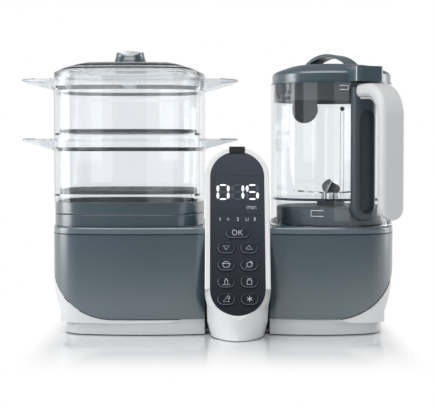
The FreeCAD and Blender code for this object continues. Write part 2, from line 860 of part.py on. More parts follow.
def jug_body():
    flare = Part.makeLoft([jug.grown(skirt_flare).wire(z_jug), jug.wire(z_jug + skirt_band)], True)
    body = fuse([jug.prism(z_jug, z_jug_top), flare])
    inside = jug.grown(-jug_wall)
    body = body.cut(inside.prism(z_jug_floor + jug_floor, z_jug_top + wall))
    body = body.cut(inside.prism(z_jug - wall, z_jug_floor))
    return body.cut(rod(x_jug, y_jug, z_jug, z_jug_top, spindle_radius + slide_gap))


def blade_holder():
    outline = jug.grown(-holder_inset)
    cup = rounded(outline.prism(z_holder, z_holder_top), z_holder_top, wall)
    cup = cup.cut(outline.grown(-wall).prism(z_holder - wall, z_holder_top - wall))
    sleeve = pipe(x_jug, y_jug, z_holder, z_holder_top - wall / 2, coupling_well + wall, coupling_well)
    return fuse([cup, sleeve]).cut(rod(x_jug, y_jug, z_jug, z_jug_floor, spindle_radius + shaft_gap))


def blade_hub():
    spindle = rod(x_jug, y_jug, z_driven + coupling_thick, z_blade + cone_height, spindle_radius)
    foot = rod(x_jug, y_jug, z_hub, z_blade, cone_radius)
    cap = Part.makeCone(cone_radius - wall, spindle_radius, 2 * cone_height / 3,
                        V(x_jug, y_jug, z_blade + blade_thick + shaft_gap))
    return fuse([spindle, foot, cap])


def blades():
    ring = pipe(x_jug, y_jug, z_blade, z_blade + blade_thick, cone_radius, spindle_radius + shaft_gap)
    half = blade_width / 2
    root = cone_radius - wall
    points = [V(root, -half, 0), V(blade_length, -half / 2, 0), V(root, half, 0)]
    edges = [line(points[0], points[1]),
             Part.Arc(points[1], V((root + 2 * blade_length) / 3, half, 0), points[2]).toShape(),
             line(points[2], points[0])]
    plate = Part.Face(Part.Wire(edges)).extrude(V(0, 0, blade_thick))
    set_of_four = [ring]
    for i in range(4):
        blade = plate.copy()
        blade.rotate(V(root, 0, 0), V(0, 1, 0), -blade_tilt if i % 2 else -blade_dip)
        blade.rotate(V(0, 0, 0), V(0, 0, 1), i * 90)
        blade.translate(V(x_jug, y_jug, z_blade))
        set_of_four.append(blade)
    return fuse(set_of_four)


pieces["jug_body"] = jug_body()
pieces["blade_holder"] = blade_holder()
pieces["blade_seal"] = pipe(x_jug, y_jug, z_holder_top, z_jug_floor, hub_radius, spindle_radius + shaft_gap)
pieces["blade_hub"] = blade_hub()
pieces["blades"] = blades()


# Handle, drawn with X pointing away from the jug
def slot(half_y, x0, x1, z0, z1):
    points = [V(x0, -half_y, z0 + half_y), V(x0, -half_y, z1 - half_y), V(x0, half_y, z1 - half_y),
              V(x0, half_y, z0 + half_y)]
    edges = [line(points[0], points[1]),
             Part.Arc(points[1], V(x0, 0, z1), points[2]).toShape(),
             line(points[2], points[3]),
             Part.Arc(points[3], V(x0, 0, z0), points[0]).toShape()]
    return Part.Face(Part.Wire(edges)).extrude(V(x1 - x0, 0, 0))


def handle_column():
    low = z_jug + column_foot
    outer = jug_half + column_thick
    high = z_jug_top - column_top
    body = box(jug_half / 2, outer, -column_width / 2, column_width / 2, low, high)
    outer_edges = [e.BoundBox for e in body.Edges]
    corners = [e for e, b in zip(body.Edges, outer_edges)
               if b.XMin > outer - wall and (b.ZMax < high or b.ZLength > column_width)]
    body = body.makeFillet(column_round, corners)
    body = body.cut(slot(channel_width / 2, outer - channel_depth, outer + wall, low + column_round,
                         low + column_round + channel_length))
    return round_jug(body, -handle_turn).cut(jug.grown(seam_gap).prism(z_jug, z_jug_top + wall))


# Bar swept from the column outwards and down, at a depth below the grip's outer face
def bent_bar(depth, thick, width, corner, start, z_end):
    x_down = grip_radius - depth - thick / 2
    z_over = z_jug_top - grip_top - depth - thick / 2
    bend = grip_bend - depth - thick / 2
    knee = bend * (1 - math.sqrt(0.5))
    path = Part.Wire([
        line(V(start, 0, z_over), V(x_down - bend, 0, z_over)),
        Part.Arc(V(x_down - bend, 0, z_over), V(x_down - knee, 0, z_over - knee),
                 V(x_down, 0, z_over - bend)).toShape(),
        line(V(x_down, 0, z_over - bend), V(x_down, 0, z_end))])
    hy = width / 2
    hz = thick / 2
    ring = []
    for sy, sz in ((1, 1), (-1, 1), (-1, -1), (1, -1)):
        cy = sy * (hy - corner)
        cz = z_over + sz * (hz - corner)
        half = corner * math.sqrt(0.5)
        side = V(start, cy + sy * corner, cz)
        flat = V(start, cy, cz + sz * corner)
        middle = V(start, cy + sy * half, cz + sz * half)
        ring.append((side, middle, flat) if sy * sz > 0 else (flat, middle, side))
    edges = []
    for i, arc in enumerate(ring):
        edges.append(Part.Arc(*arc).toShape())
        edges.append(line(arc[2], ring[(i + 1) % 4][0]))
    return path.makePipeShell([Part.Wire(edges)], True, False)


grip_end = z_jug_top - grip_top - grip_length


def handle_grip():
    bar = bent_bar(0, grip_thick, grip_width, grip_round, jug_half + column_thick, grip_end)
    return round_jug(rounded(bar, grip_end, grip_round - seam_gap), -handle_turn)


def handle_liner():
    start = jug_half + column_thick + liner_thick
    depth = grip_thick + shaft_gap
    bar = bent_bar(depth, liner_thick, liner_width, liner_thick / 3, start, grip_end + grip_round)
    return round_jug(bar, -handle_turn)


pieces["handle_column"] = handle_column()
pieces["handle_grip"] = handle_grip()
pieces["handle_liner"] = handle_liner()


# Jug lid
def lid_form():
    upper = jug.grown(-jug_lid_step)
    flange = jug.prism(z_jug_lid, z_jug_lid + jug_lid_step)
    side = upper.prism(z_jug_lid, z_lid_dome)
    block = box(jug_half / 2, jug_half + lid_block_reach, -lid_block_width / 2, lid_block_width / 2,
                z_jug_lid, z_jug_lid + lid_block_height)
    corners = [e for e in block.Edges
               if e.BoundBox.XMin > jug_half and e.BoundBox.ZLength > lid_block_height / 2]
    block = round_jug(block.makeFillet(grip_round, corners), -handle_turn)
    return fuse([flange, side, upper.dome(jug_lid_profile, z_lid_dome), block])


def jug_lid():
    under = jug.grown(-jug_lid_step - jug_lid_plate)
    room = under.prism(z_jug_lid - wall, z_lid_dome - jug_lid_plate)
    vault = under.dome(jug_lid_profile, z_lid_dome - jug_lid_plate)
    return lid_form().cut(room).cut(vault)


def lid_skirt():
    outline = jug.grown(-jug_wall - slide_gap)
    low = z_jug_lid - lid_skirt_height
    flap_low = low - flap_drop
    band = outline.tube(lid_skirt_wall, low, z_jug_lid)
    ends = [V(0, -flap_half, low), V(0, flap_half, low)]
    edge = Part.Arc(ends[0], V(0, 0, flap_low), ends[1]).toShape()
    tongue = Part.Face(Part.Wire([edge, line(ends[1], ends[0])])).extrude(V(-2 * jug_half, 0, 0))
    flap = outline.tube(lid_skirt_wall, flap_low, low).common(round_jug(tongue, -handle_turn))
    return fuse([band, flap])


def jug_lid_knob():
    def arch(half, rise):
        low = z_lid_dome
        ends = [V(-half, 0, z_lid_top - arch_sink), V(half, 0, z_lid_top - arch_sink)]
        feet = [V(half, 0, low), V(-half, 0, low)]
        edges = [Part.Arc(ends[0], V(0, 0, z_lid_top + rise), ends[1]).toShape(), line(ends[1], feet[0]),
                 line(feet[0], feet[1]), line(feet[1], ends[0])]
        body = Part.Face(Part.Wire(edges)).extrude(V(0, arch_depth, 0))
        body.translate(V(0, -arch_depth / 2, 0))
        return body

    loop = arch(arch_half, arch_rise).cut(arch(arch_half - arch_thick, arch_rise - arch_thick))
    return round_jug(loop, arch_turn - 90).cut(lid_form())


pieces["jug_lid"] = jug_lid()
pieces["lid_skirt"] = lid_skirt()
pieces["jug_lid_knob"] = jug_lid_knob()

# Control panel, drawn flat with X across, Y up along the face and Z out of it
panel_place = FreeCAD.Placement(V(x_panel, y_front - face_ahead, face_low),
                                FreeCAD.Rotation(V(1, 0, 0), 90 - panel_lean)).toMatrix()
face_back = face_sink + facia_thick
lean = math.radians(panel_lean)


def on_panel(shape):
    return shape.transformed(panel_place)


# Upright or lying stadium
def stadium(u, v, half_u, half_v, n0, n1):
    r = min(half_u, half_v)
    a = half_u - r
    b = half_v - r
    if half_v > half_u:
        p = [V(u + r, v - b, n0), V(u + r, v + b, n0), V(u - r, v + b, n0), V(u - r, v - b, n0)]
        tips = [V(u, v + half_v, n0), V(u, v - half_v, n0)]
    else:
        p = [V(u - a, v - r, n0), V(u + a, v - r, n0), V(u + a, v + r, n0), V(u - a, v + r, n0)]
        tips = [V(u + half_u, v, n0), V(u - half_u, v, n0)]
    edges = [line(p[0], p[1]), Part.Arc(p[1], tips[0], p[2]).toShape(), line(p[2], p[3]),
             Part.Arc(p[3], tips[1], p[0]).toShape()]
    return Part.Face(Part.Wire(edges)).extrude(V(0, 0, n1 - n0))


# Stadium concentric with the face, wider by an amount
def face_form(by, n0, n1):
    return stadium(0, face_length / 2, face_half + by, face_length / 2 + by, n0, n1)


def face_room(depth):
    pocket = face_form(seam_gap, -face_back - seam_gap, wall)
    return pocket.fuse(face_form(-face_ledge, -depth, 0))


def flat_box(u, v0, v1, n0, n1):
    return box(-u, u, v0, v1, n0, n1)


def clip_form(by):
    return flat_box(clip_half + by, face_length + clip_gap - by, face_length + clip_gap + clip_length + by,
                    -clip_thick - by, clip_gap)


def panel_bezel():
    body = rounded(face_form(bezel_border, -panel_thick, 0), 0, bezel_round)
    body = body.common(flat_box(reach, bezel_seam + seam_gap / 2, reach, -reach, reach))
    body = body.cut(face_room(panel_thick + wall))
    return on_panel(body.cut(clip_form(seam_gap)))


# Outline of the panel's foot at one level, with its tip to the front
def prow(half, side, tip, z):
    y_side = y_front + side
    y_tip = y_front - tip
    y_rear = y_front + prow_back
    p = [V(x_panel - half, y_rear, z), V(x_panel - half, y_side, z), V(x_panel, y_tip, z),
         V(x_panel + half, y_side, z), V(x_panel + half, y_rear, z)]
    run = V(half, y_tip - y_side, 0).normalize()
    out = V(run.y, -run.x, 0) * prow_bulge
    mirrored = V(-out.x, out.y, 0)
    edges = [line(p[0], p[1]), Part.Arc(p[1], (p[1] + p[2]) / 2 + out, p[2]).toShape(),
             Part.Arc(p[2], (p[2] + p[3]) / 2 + mirrored, p[3]).toShape(), line(p[3], p[4]), line(p[4], p[0])]
    return Part.Wire(edges)


z_chin = face_low - bezel_border * math.cos(lean)
chin_ahead = face_ahead + bezel_border * math.sin(lean)
z_stand = face_low + (bezel_seam + bezel_border) * math.cos(lean)


def panel_stand():
    body = Part.makeLoft([prow(prow_half, prow_side, prow_reach, prow_clear),
                          prow(prow_waist - bezel_round, -prow_side, chin_ahead, z_chin),
                          prow(prow_waist, -2 * prow_side, chin_ahead + panel_thick, z_stand)], True)
    front = flat_box(reach, -reach, reach, 0, reach)
    above = flat_box(reach, bezel_seam - seam_gap / 2, reach, -reach, reach)
    behind = on_panel(flat_box(reach, -reach, reach, -reach, -panel_thick))
    behind = behind.common(box(-reach, reach, -reach, reach, z_overhang - lift_gap, reach))
    body = body.cut(on_panel(front)).cut(on_panel(above)).cut(behind)
    return body.cut(on_panel(face_room(stand_pocket)))


def panel_facia():
    face = face_form(0, -face_back, -face_sink)
    holes = [stadium(u, v, hu + slide_gap, hv + slide_gap, -reach, reach) for u, v, hu, hv in buttons.values()]
    window = flat_box(window_half + seam_gap, window_low - seam_gap, window_high + seam_gap,
                      -face_sink - window_thick, wall)
    return on_panel(face.cut(Part.makeCompound(holes)).cut(window))


def panel_button(u, v, hu, hv):
    top = -face_back - lift_gap
    cap = rounded(stadium(u, v, hu, hv, top - flange_thick / 2, button_proud), button_proud, button_proud)
    flange = stadium(u, v, hu + button_flange, hv + button_flange, top - flange_thick, top)
    stem = rod(u, v, top - flange_thick - stem_length, top - flange_thick / 2, stem_radius)
    return on_panel(fuse([cap, flange, stem]))


# Columns and rows of the round buttons, from the lowest row up
button_names = [("warm_button", "frost_button"), ("bottle_button", "jar_button"),
                ("steam_button", "pot_button"), ("down_button", "up_button")]
buttons = {"ok_button": (0, ok_height, ok_half_u, ok_half_v)}
for row, names in enumerate(button_names):
    for name, side in zip(names, (-1, 1)):
        buttons[name] = (side * button_column, button_low + row * button_pitch, button_half_u, button_half_v)


def panel_back():
    plate = face_form(-face_ledge - seam_gap, -panel_thick, -panel_thick + back_thick)
    plate = plate.common(flat_box(reach, bezel_seam + seam_gap, reach, -reach, reach))
    posts = [rod(su * (face_half - 4 * post_radius), v, -panel_thick, -board_sink - board_thick, post_radius)
             for su in (-1, 1) for v in (bezel_seam + 3 * post_radius, face_length - face_half)]
    return on_panel(fuse([plate] + posts))


def panel_board():
    board = face_form(-face_ledge - 2 * seam_gap, -board_sink - board_thick, -board_sink)
    return on_panel(board.common(flat_box(reach, board_low, reach, -reach, reach)))


# Bridge between the two halves, with a sloping front that the panel leans on
def centre_column():
    def slope(z):
        back = face_ahead - (panel_thick + lift_gap) / math.cos(lean)
        return y_front - back + (z - face_low) * math.tan(lean)

    x0 = x_left_inner + column_room
    x1 = x_right_inner - column_room
    profile = [(y_strip, z_pan), (y_strip, z_overhang), (slope(z_overhang), z_overhang),
               (slope(z_seam), z_seam), (y_strip_back - wall, z_seam), (y_strip_back, z_pan)]
    body = lengthwise(x0, x1, profile)
    room = box(x0 + wall, x1 - wall, y_strip + wall, y_strip_back - 2 * wall, z_pan - wall, z_seam - wall)
    return body.cut(room)


pieces["panel_bezel"] = panel_bezel()
pieces["panel_stand"] = panel_stand()
pieces["panel_facia"] = panel_facia()
window = flat_box(window_half, window_low, window_high, -face_sink - window_thick, -face_sink)
pieces["display_window"] = on_panel(window)
pieces["panel_clip"] = on_panel(clip_form(0))
pieces["panel_back"] = panel_back()
pieces["panel_board"] = panel_board()
pieces["centre_column"] = centre_column()
for name, place in buttons.items():
    pieces[name] = panel_button(*place)

for name, shape in pieces.items():
    shape.exportStep("parts/" + name + ".step")
    print(name, len(shape.Solids), shape.isValid(), round(shape.Volume))
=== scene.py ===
import json
import math

import bmesh
import bpy
from mathutils import Matrix, Vector


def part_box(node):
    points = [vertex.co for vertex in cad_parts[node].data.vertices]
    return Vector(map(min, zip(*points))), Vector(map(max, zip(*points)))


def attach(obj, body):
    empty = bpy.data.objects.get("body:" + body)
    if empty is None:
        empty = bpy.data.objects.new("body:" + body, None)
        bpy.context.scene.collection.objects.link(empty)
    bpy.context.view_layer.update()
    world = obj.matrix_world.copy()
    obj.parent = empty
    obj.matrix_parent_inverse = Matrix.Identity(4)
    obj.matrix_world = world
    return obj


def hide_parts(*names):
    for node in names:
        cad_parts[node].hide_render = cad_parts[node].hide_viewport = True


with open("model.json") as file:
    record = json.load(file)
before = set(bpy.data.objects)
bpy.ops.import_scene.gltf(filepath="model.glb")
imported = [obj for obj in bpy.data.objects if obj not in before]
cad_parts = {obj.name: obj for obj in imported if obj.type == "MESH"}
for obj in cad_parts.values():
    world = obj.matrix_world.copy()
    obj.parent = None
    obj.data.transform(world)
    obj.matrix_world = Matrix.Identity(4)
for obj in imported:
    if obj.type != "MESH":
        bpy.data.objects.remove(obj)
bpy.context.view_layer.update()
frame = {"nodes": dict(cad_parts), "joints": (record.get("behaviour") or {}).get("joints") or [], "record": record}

nodes = frame["nodes"]
mm = 0.001
print("frame loaded:", len(nodes), "solids")


class Socket:                               # a shader socket that takes part in sums
    def __init__(self, tree, plug=None):
        self.tree = tree
        self.plug = plug

    def add(self, kind, settings=None, sockets=None, out=0):
        node = self.tree.nodes.new("ShaderNode" + kind)
        for name, value in (settings or {}).items():
            setattr(node, name, value)
        for name, value in (sockets or {}).items():
            if isinstance(value, Socket):
                self.tree.links.new(value.plug, node.inputs[name])
            else:
                node.inputs[name].default_value = value
        return Socket(self.tree, node.outputs[out] if node.outputs else None)

    def sum(self, operation, first, second):
        return self.add("Math", {"operation": operation}, {0: first, 1: second})

    def __add__(self, other):
        return self.sum("ADD", self, other)

    def __radd__(self, other):
        return self.sum("ADD", other, self)

    def __sub__(self, other):
        return self.sum("SUBTRACT", self, other)

    def __rsub__(self, other):
        return self.sum("SUBTRACT", other, self)

    def __mul__(self, other):
        return self.sum("MULTIPLY", self, other)

    def tint(self, low, high):              # colour between two, by this value
        return self.add("Mix", {"data_type": "RGBA"}, {0: self, 6: low, 7: high}, 2)


def newMaterial(name):
    material = bpy.data.materials.new(name)
    material.use_nodes = True
    material.node_tree.nodes.clear()
    return material, Socket(material.node_tree)


def rgb(red, green, blue):                  # screen colour, 0 to 255, as linear light
    def linear(value):
        part = value / 255
        return part / 12.92 if part <= 0.04045 else ((part + 0.055) / 1.055) ** 2.4
    return (linear(red), linear(green), linear(blue), 1.0)


def mixed(colour, share, other):            # numbers alone, so no node is needed
    return tuple(a + (b - a) * share for a, b in zip(colour, other))


black = (0.0, 0.0, 0.0, 1.0)
white = (1.0, 1.0, 1.0, 1.0)


noiseMiddle = 0.5
fineDetail = 2.0


def grained(pen, place, scale, detail):     # noise from 0 to 1
    return pen.add("TexNoise", {}, {"Vector": place, "Scale": scale, "Detail": detail}, "Fac")


def skinOf(pen, height, look):              # a normal that follows the noise
    sockets = {"Height": height, "Strength": look["bump"], "Distance": look["depth"]}
    return pen.add("Bump", {}, sockets, "Normal")


def principled(pen, sockets):               # a surface, joined to the material's output
    pen.add("OutputMaterial", {}, {"Surface": pen.add("BsdfPrincipled", {}, sockets)})


# Moulded plastics: a slow cloud moves tone and gloss, a fine grain gives the skin of the mould

mould = {"cloudShare": 0.7, "grainShare": 0.3, "cloudDetail": 3.0}


def moulded(name, look):
    material, pen = newMaterial(name)
    place = pen.add("TexCoord", {}, {}, "Object")
    cloud = grained(pen, place, look["cloud"], mould["cloudDetail"])
    grain = grained(pen, place, look["grain"], fineDetail)
    tone = cloud * mould["cloudShare"] + grain * mould["grainShare"]
    dark = mixed(look["colour"], look["spread"], black)
    light = mixed(look["colour"], look["spread"], white)
    rough = look["rough"] + (cloud - noiseMiddle) * look["roughSpread"]
    sockets = {"Base Color": tone.tint(dark, light), "Roughness": rough, "Normal": skinOf(pen, grain, look)}
    sockets.update(look.get("sockets", {}))
    principled(pen, sockets)
    return material


slateLook = {"colour": rgb(60, 82, 92), "cloud": 9.0, "grain": 1600.0, "spread": 0.03, "rough": 0.25,
             "roughSpread": 0.06, "bump": 0.1, "depth": 0.00006, "sockets": {"IOR": 2.3}}
# Decks: a lighter copy of the slate, a painted highlight along their rounded lip
deckHighlightLook = {**slateLook, "colour": rgb(90, 109, 118)}
# Handle column and blade holder: a darker copy of the slate, painted shade, and less glossy
holderShadeLook = {**slateLook, "colour": rgb(54, 68, 77), "spread": 0.02, "rough": 0.4, "sockets": {}}
# Foot pan: white plastic darkened, painted shade on the foot; the other whites take its grain and gloss
panShadeLook = {"colour": rgb(206, 208, 210), "cloud": 7.0, "grain": 900.0, "spread": 0.012, "rough": 0.24,
           "roughSpread": 0.06, "bump": 0.05, "depth": 0.00006}
# Cradles: white plastic darkened, painted shade
cradleShadeLook = {**panShadeLook, "colour": rgb(220, 223, 225)}
# Grip: white plastic darkened, painted shade on the grip's outer face
gripShadeLook = {**panShadeLook, "colour": rgb(212, 213, 214), "rough": 0.3}
whiteLook = {**panShadeLook, "colour": rgb(232, 233, 234),
             "sockets": {"Coat Weight": 0.25, "Coat Roughness": 0.08}}
trayLook = {"colour": rgb(44, 51, 57), "cloud": 14.0, "grain": 1400.0, "spread": 0.02, "rough": 0.42,
            "roughSpread": 0.08, "bump": 0.12, "depth": 0.00008}
skirtLook = {**trayLook, "colour": rgb(26, 31, 38), "spread": 0.01, "rough": 0.5}
blackLook = {"colour": rgb(26, 27, 30), "cloud": 20.0, "grain": 900.0, "spread": 0.01, "rough": 0.25,
             "roughSpread": 0.06, "bump": 0.05, "depth": 0.00005}
paleLook = {"colour": rgb(190, 191, 191), "cloud": 12.0, "grain": 1500.0, "spread": 0.015, "rough": 0.5,
            "roughSpread": 0.08, "bump": 0.15, "depth": 0.0001}
rubberLook = {"colour": rgb(40, 41, 43), "cloud": 30.0, "grain": 1800.0, "spread": 0.02, "rough": 0.75,
              "roughSpread": 0.1, "bump": 0.3, "depth": 0.0001}
paintLook = {"colour": rgb(92, 95, 99), "cloud": 20.0, "grain": 700.0, "spread": 0.03, "rough": 0.38,
             "roughSpread": 0.1, "bump": 0.2, "depth": 0.00008}
boardLook = {"colour": rgb(36, 98, 62), "cloud": 60.0, "grain": 500.0, "spread": 0.06, "rough": 0.35,
             "roughSpread": 0.1, "bump": 0.2, "depth": 0.00006}


# Face of the panel: dark slate with a painted sheen, lighter towards its upper end and darker towards its lower
# end; the keys share it

faceSheenLook = {"low": rgb(34, 38, 46), "high": rgb(57, 63, 75), "grain": 1500.0, "rough": 0.34, "keyRough": 0.2,
            "spread": 0.06, "bump": 0.08, "depth": 0.00006}


def panelSheenFinish(name, rough):
    material, pen = newMaterial(name)
    place = pen.add("TexCoord", {}, {}, "Object")
    level = pen.add("SeparateXYZ", {}, {"Vector": place}, "Z")
    low, high = (corner.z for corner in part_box("panel_facia"))
    # lighter with height: painted sheen above, painted shade below
    sheenClimb = (level - low) * (1.0 / (high - low))
    grain = grained(pen, place, faceSheenLook["grain"], fineDetail)
    gloss = rough + (grain - noiseMiddle) * faceSheenLook["spread"]
    principled(pen, {"Base Color": sheenClimb.tint(faceSheenLook["low"], faceSheenLook["high"]), "Roughness": gloss,
                     "Normal": skinOf(pen, grain, faceSheenLook)})
    return material


# Clear plastic lets light through its shadow, and thin polish marks break its gloss

clearLook = {"colour": rgb(250, 252, 253), "basket": rgb(242, 244, 246), "rough": 0.015, "haze": 0.03,
             "ior": 1.45, "marks": 40.0, "detail": 4.0, "body": rgb(150, 165, 175), "density": 35.0,
             "wingTone": rgb(226, 230, 233), "wingShare": 0.35, "wingEase": 1.5 * mm}


def clearFinish(name, hasWings):
    material, pen = newMaterial(name)
    place = pen.add("TexCoord", {}, {}, "Object")
    marks = grained(pen, place, clearLook["marks"], clearLook["detail"])
    colour = clearLook["basket"] if hasWings else clearLook["colour"]
    polish = clearLook["rough"] + marks * clearLook["haze"]
    shader = pen.add("BsdfPrincipled", {}, {"Base Color": colour, "Roughness": polish,
                                            "IOR": clearLook["ior"], "Transmission Weight": 1.0})
    through = pen.add("BsdfTransparent", {}, {"Color": colour})
    shadow = pen.add("LightPath", {}, {}, "Is Shadow Ray")
    both = pen.add("MixShader", {}, {0: shadow, 1: shader, 2: through})
    if not hasWings:
        body = pen.add("VolumeAbsorption", {}, {"Color": clearLook["body"], "Density": clearLook["density"]})
        pen.add("OutputMaterial", {}, {"Surface": both, "Volume": body})
        return material
    low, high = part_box("steam_lid")         # the wings are what reaches past the lid
    aside = pen.add("SeparateXYZ", {}, {"Vector": place}, "X") - (low.x + high.x) / 2
    outside = (pen.sum("ABSOLUTE", aside, 0.0) - (high.x - low.x) / 2) * (1.0 / clearLook["wingEase"])
    gloss = pen.add("BsdfPrincipled", {}, {"Base Color": clearLook["wingTone"],
                                           "Roughness": clearLook["rough"]})
    sheet = pen.add("MixShader", {}, {0: clearLook["wingShare"], 1: through, 2: gloss})
    pen.add("OutputMaterial", {}, {"Surface": pen.add("MixShader", {}, {0: outside, 1: both, 2: sheet})})
    return material


# Steel with fine turning lines round the upright axis

steelLook = {"colour": rgb(196, 198, 200), "lines": 900.0, "detail": 3.0, "stretch": (0.05, 0.05, 1.0),
             "rough": 0.26, "spread": 0.16, "bump": 0.1, "depth": 0.00005}


def steelFinish():
    material, pen = newMaterial("turnedSteel")
    place = pen.add("TexCoord", {}, {}, "Object")
    stretched = pen.add("Mapping", {}, {"Vector": place, "Scale": steelLook["stretch"]})
    lines = grained(pen, stretched, steelLook["lines"], steelLook["detail"])
    rough = steelLook["rough"] + (lines - noiseMiddle) * steelLook["spread"]
    principled(pen, {"Base Color": steelLook["colour"], "Metallic": 1.0, "Roughness": rough,
                     "Normal": skinOf(pen, lines, steelLook)})
    return material


# Lit and resting signs of the display, the print on the keys and other thin lines; the print has a faint painted
# glow, and some thin lines are painted highlight and shade

signLook = {"grain": 1200.0, "spread": 0.06, "rough": 0.45}


def signFinish(name, colour, glow):
    material, pen = newMaterial(name)
    place = pen.add("TexCoord", {}, {}, "Object")
    grain = grained(pen, place, signLook["grain"], fineDetail)
    tone = grain.tint(mixed(colour, signLook["spread"], black), colour)
    principled(pen, {"Base Color": tone, "Roughness": signLook["rough"], "Emission Color": colour,
                     "Emission Strength": glow})
    return material


finishes = {
    "white_plastic": moulded("whitePlastic", whiteLook),
    "slate_plastic": moulded("slatePlastic", slateLook),
    "clear_plastic": clearFinish("clearPlastic", False),
    "dark_plastic": moulded("trayPlastic", trayLook),
    "smoked_window": panelSheenFinish("panelSlate", faceSheenLook["rough"]),
    "black_plastic": moulded("blackPlastic", blackLook),
    "pale_grip": moulded("paleGrip", paleLook),
    "rubber": moulded("footRubber", rubberLook),
    "steel": steelFinish(),
    "painted_steel": moulded("canPaint", paintLook),
    "circuit_board": moulded("boardLacquer", boardLook),
}
panelSlate = finishes["smoked_window"]
keySlate = panelSheenFinish("keySlate", faceSheenLook["keyRough"])
signLit = signFinish("signLit", rgb(236, 240, 244), 0.55)
signResting = signFinish("signResting", rgb(78, 85, 97), 0.0)
# print on the keys and under the window, with a faint painted glow
signPrint = signFinish("signPrint", rgb(226, 231, 237), 0.1)
# light rings round the keys: painted highlight along their raised edges, with a faint glow
keyRing = signFinish("keyRing", rgb(176, 183, 193), 0.05)
# grey lines on clear plastic edges: painted shade along the jug's rib and the baskets' wings
ribGrey = signFinish("ribGrey", rgb(112, 116, 122), 0.0)

slots = {row["node"]: row["material_slot"] for row in frame["record"]["subparts"]}
for name, slot in slots.items():
    nodes[name].data.materials.clear()
    nodes[name].data.materials.append(finishes[slot])
# darker slate on the handle column and blade holder: painted shade
holderSlate = moulded("holderSlate", holderShadeLook)
basketClear = clearFinish("basketClear", True)
# lighter slate on the decks: painted highlight
deckSlate = moulded("deckSlate", deckHighlightLook)
special = {"panel_facia": panelSlate, "handle_column": holderSlate, "blade_holder": holderSlate,
           # grip in darkened white: painted shade
           "lid_skirt": moulded("skirtPlastic", skirtLook), "handle_grip": moulded("gripWhite", gripShadeLook),
           # foot pan and cradles in darkened white: painted shade
           "base_pan": moulded("panWhite", panShadeLook), "left_cradle": moulded("cradleWhite", cradleShadeLook),
           "lower_basket": basketClear, "upper_basket": basketClear,
           "left_deck": deckSlate, "right_deck": deckSlate,
           "centre_column": finishes["dark_plastic"]}      # in dark plastic: painted shade in the gap between the halves
for name, solid in nodes.items():
    if name.endswith("_button"):
        solid.data.materials[0] = panelSlate
    elif name in special:
        solid.data.materials[0] = special[name]
print("finishes on all solids")


# The panel leans back; its keys travel along the direction the frame gives

pressAxis = Vector(next(joint["axis"] for joint in frame["joints"] if joint["name"] == "ok_press"))
outward = -pressAxis.normalized()
across = Vector((1.0, 0.0, 0.0))
upward = outward.cross(across)
topBand = 0.3 * mm                          # points this near the highest one belong to the top


def faceOf(node):                           # place on top of a panel piece: across, up and out of the face
    points = [vertex.co for vertex in nodes[node].data.vertices]
    w = max(point.dot(outward) for point in points)
    points = [point for point in points if point.dot(outward) > w - topBand]
    u = [point.dot(across) for point in points]
    v = [point.dot(upward) for point in points]
    centre = across * (min(u) + max(u)) / 2 + upward * (min(v) + max(v)) / 2 + outward * w
    place = Matrix((across, upward, outward)).transposed().to_4x4()
    place.translation = centre
    return place, (max(u) - min(u)) / 2, (max(v) - min(v)) / 2


def keep(name, mesh, body, finish):   # a finished piece: place in its mesh, riding a body
    piece = bpy.data.objects.new(name, mesh)
    bpy.context.scene.collection.objects.link(piece)
    mesh.materials.clear()
    mesh.materials.append(finish)
    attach(piece, body)
    return piece


def standFor(node, name, mesh, body):       # a finished piece in the place of a solid, in its finish
    piece = keep(name, mesh, body, nodes[node].data.materials[0])
    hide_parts(node)


def meshFrom(work, name):                   # the mesh of finished work
    mesh = bpy.data.meshes.new(name)
    work.to_mesh(mesh)
    work.free()
    return mesh


def smoothed(work):
    for face in work.faces:
        face.smooth = True


def rounded(work, edges, offset, segments):
    bmesh.ops.bevel(work, geom=edges, offset=offset, offset_type="OFFSET", affect="EDGES", segments=segments,
                    profile=0.5, material=-1)


def meshOf(curve):                          # a curve or text as a mesh of its own
    holder = bpy.data.objects.new("holder", curve)
    bpy.context.scene.collection.objects.link(holder)
    bpy.context.view_layer.update()
    mesh = bpy.data.meshes.new_from_object(holder.evaluated_get(bpy.context.evaluated_depsgraph_get()))
    bpy.data.objects.remove(holder)
    return mesh


# Round wires along points in mm, or where lay puts them; a line that ends where it starts is closed

def strokes(lines, width, lay=None):
    curve = bpy.data.curves.new("strokes", "CURVE")
    curve.dimensions = "3D"
    curve.bevel_depth = width / 2
    curve.bevel_resolution = 1
    for points in lines:
        closed = points[0] == points[-1]
        points = points[:-1] if closed else points
        spline = curve.splines.new("POLY")
        spline.points.add(len(points) - 1)
        for point, (x, y) in zip(spline.points, points):
            point.co = (*(lay(x, y) if lay else (x * mm, y * mm, 0.0)), 1.0)
        spline.use_cyclic_u = closed
    return meshOf(curve)


letterDepth = 0.04 * mm


def lettering(text, height):
    curve = bpy.data.curves.new("lettering", "FONT")
    curve.body = text
    curve.size = height * mm
    curve.align_x = "CENTER"
    curve.align_y = "CENTER"
    curve.extrude = letterDepth
    return meshOf(curve)


def arc(x, y, radiusX, radiusY, start, end, steps=14):
    turns = [math.radians(start + (end - start) * i / steps) for i in range(steps + 1)]
    return [(x + radiusX * math.cos(t), y + radiusY * math.sin(t)) for t in turns]


def ring(x, y, radiusX, radiusY):
    points = arc(x, y, radiusX, radiusY, 0, 360, 24)
    return points[:-1] + points[:1]


def capsule(halfX, halfY):                  # two half rounds and the straight runs between them
    reach = halfX - halfY
    points = arc(reach, 0, halfY, halfY, -90, 90) + arc(-reach, 0, halfY, halfY, 90, 270)
    return points + points[:1]


# Forms that follow the photograph closer than the solids they stand for

formAngle = math.radians(32.0)              # sharper edges stay sharp
fineWeld = 0.002 * mm
weld = 0.01 * mm                            # points nearer than this count as one


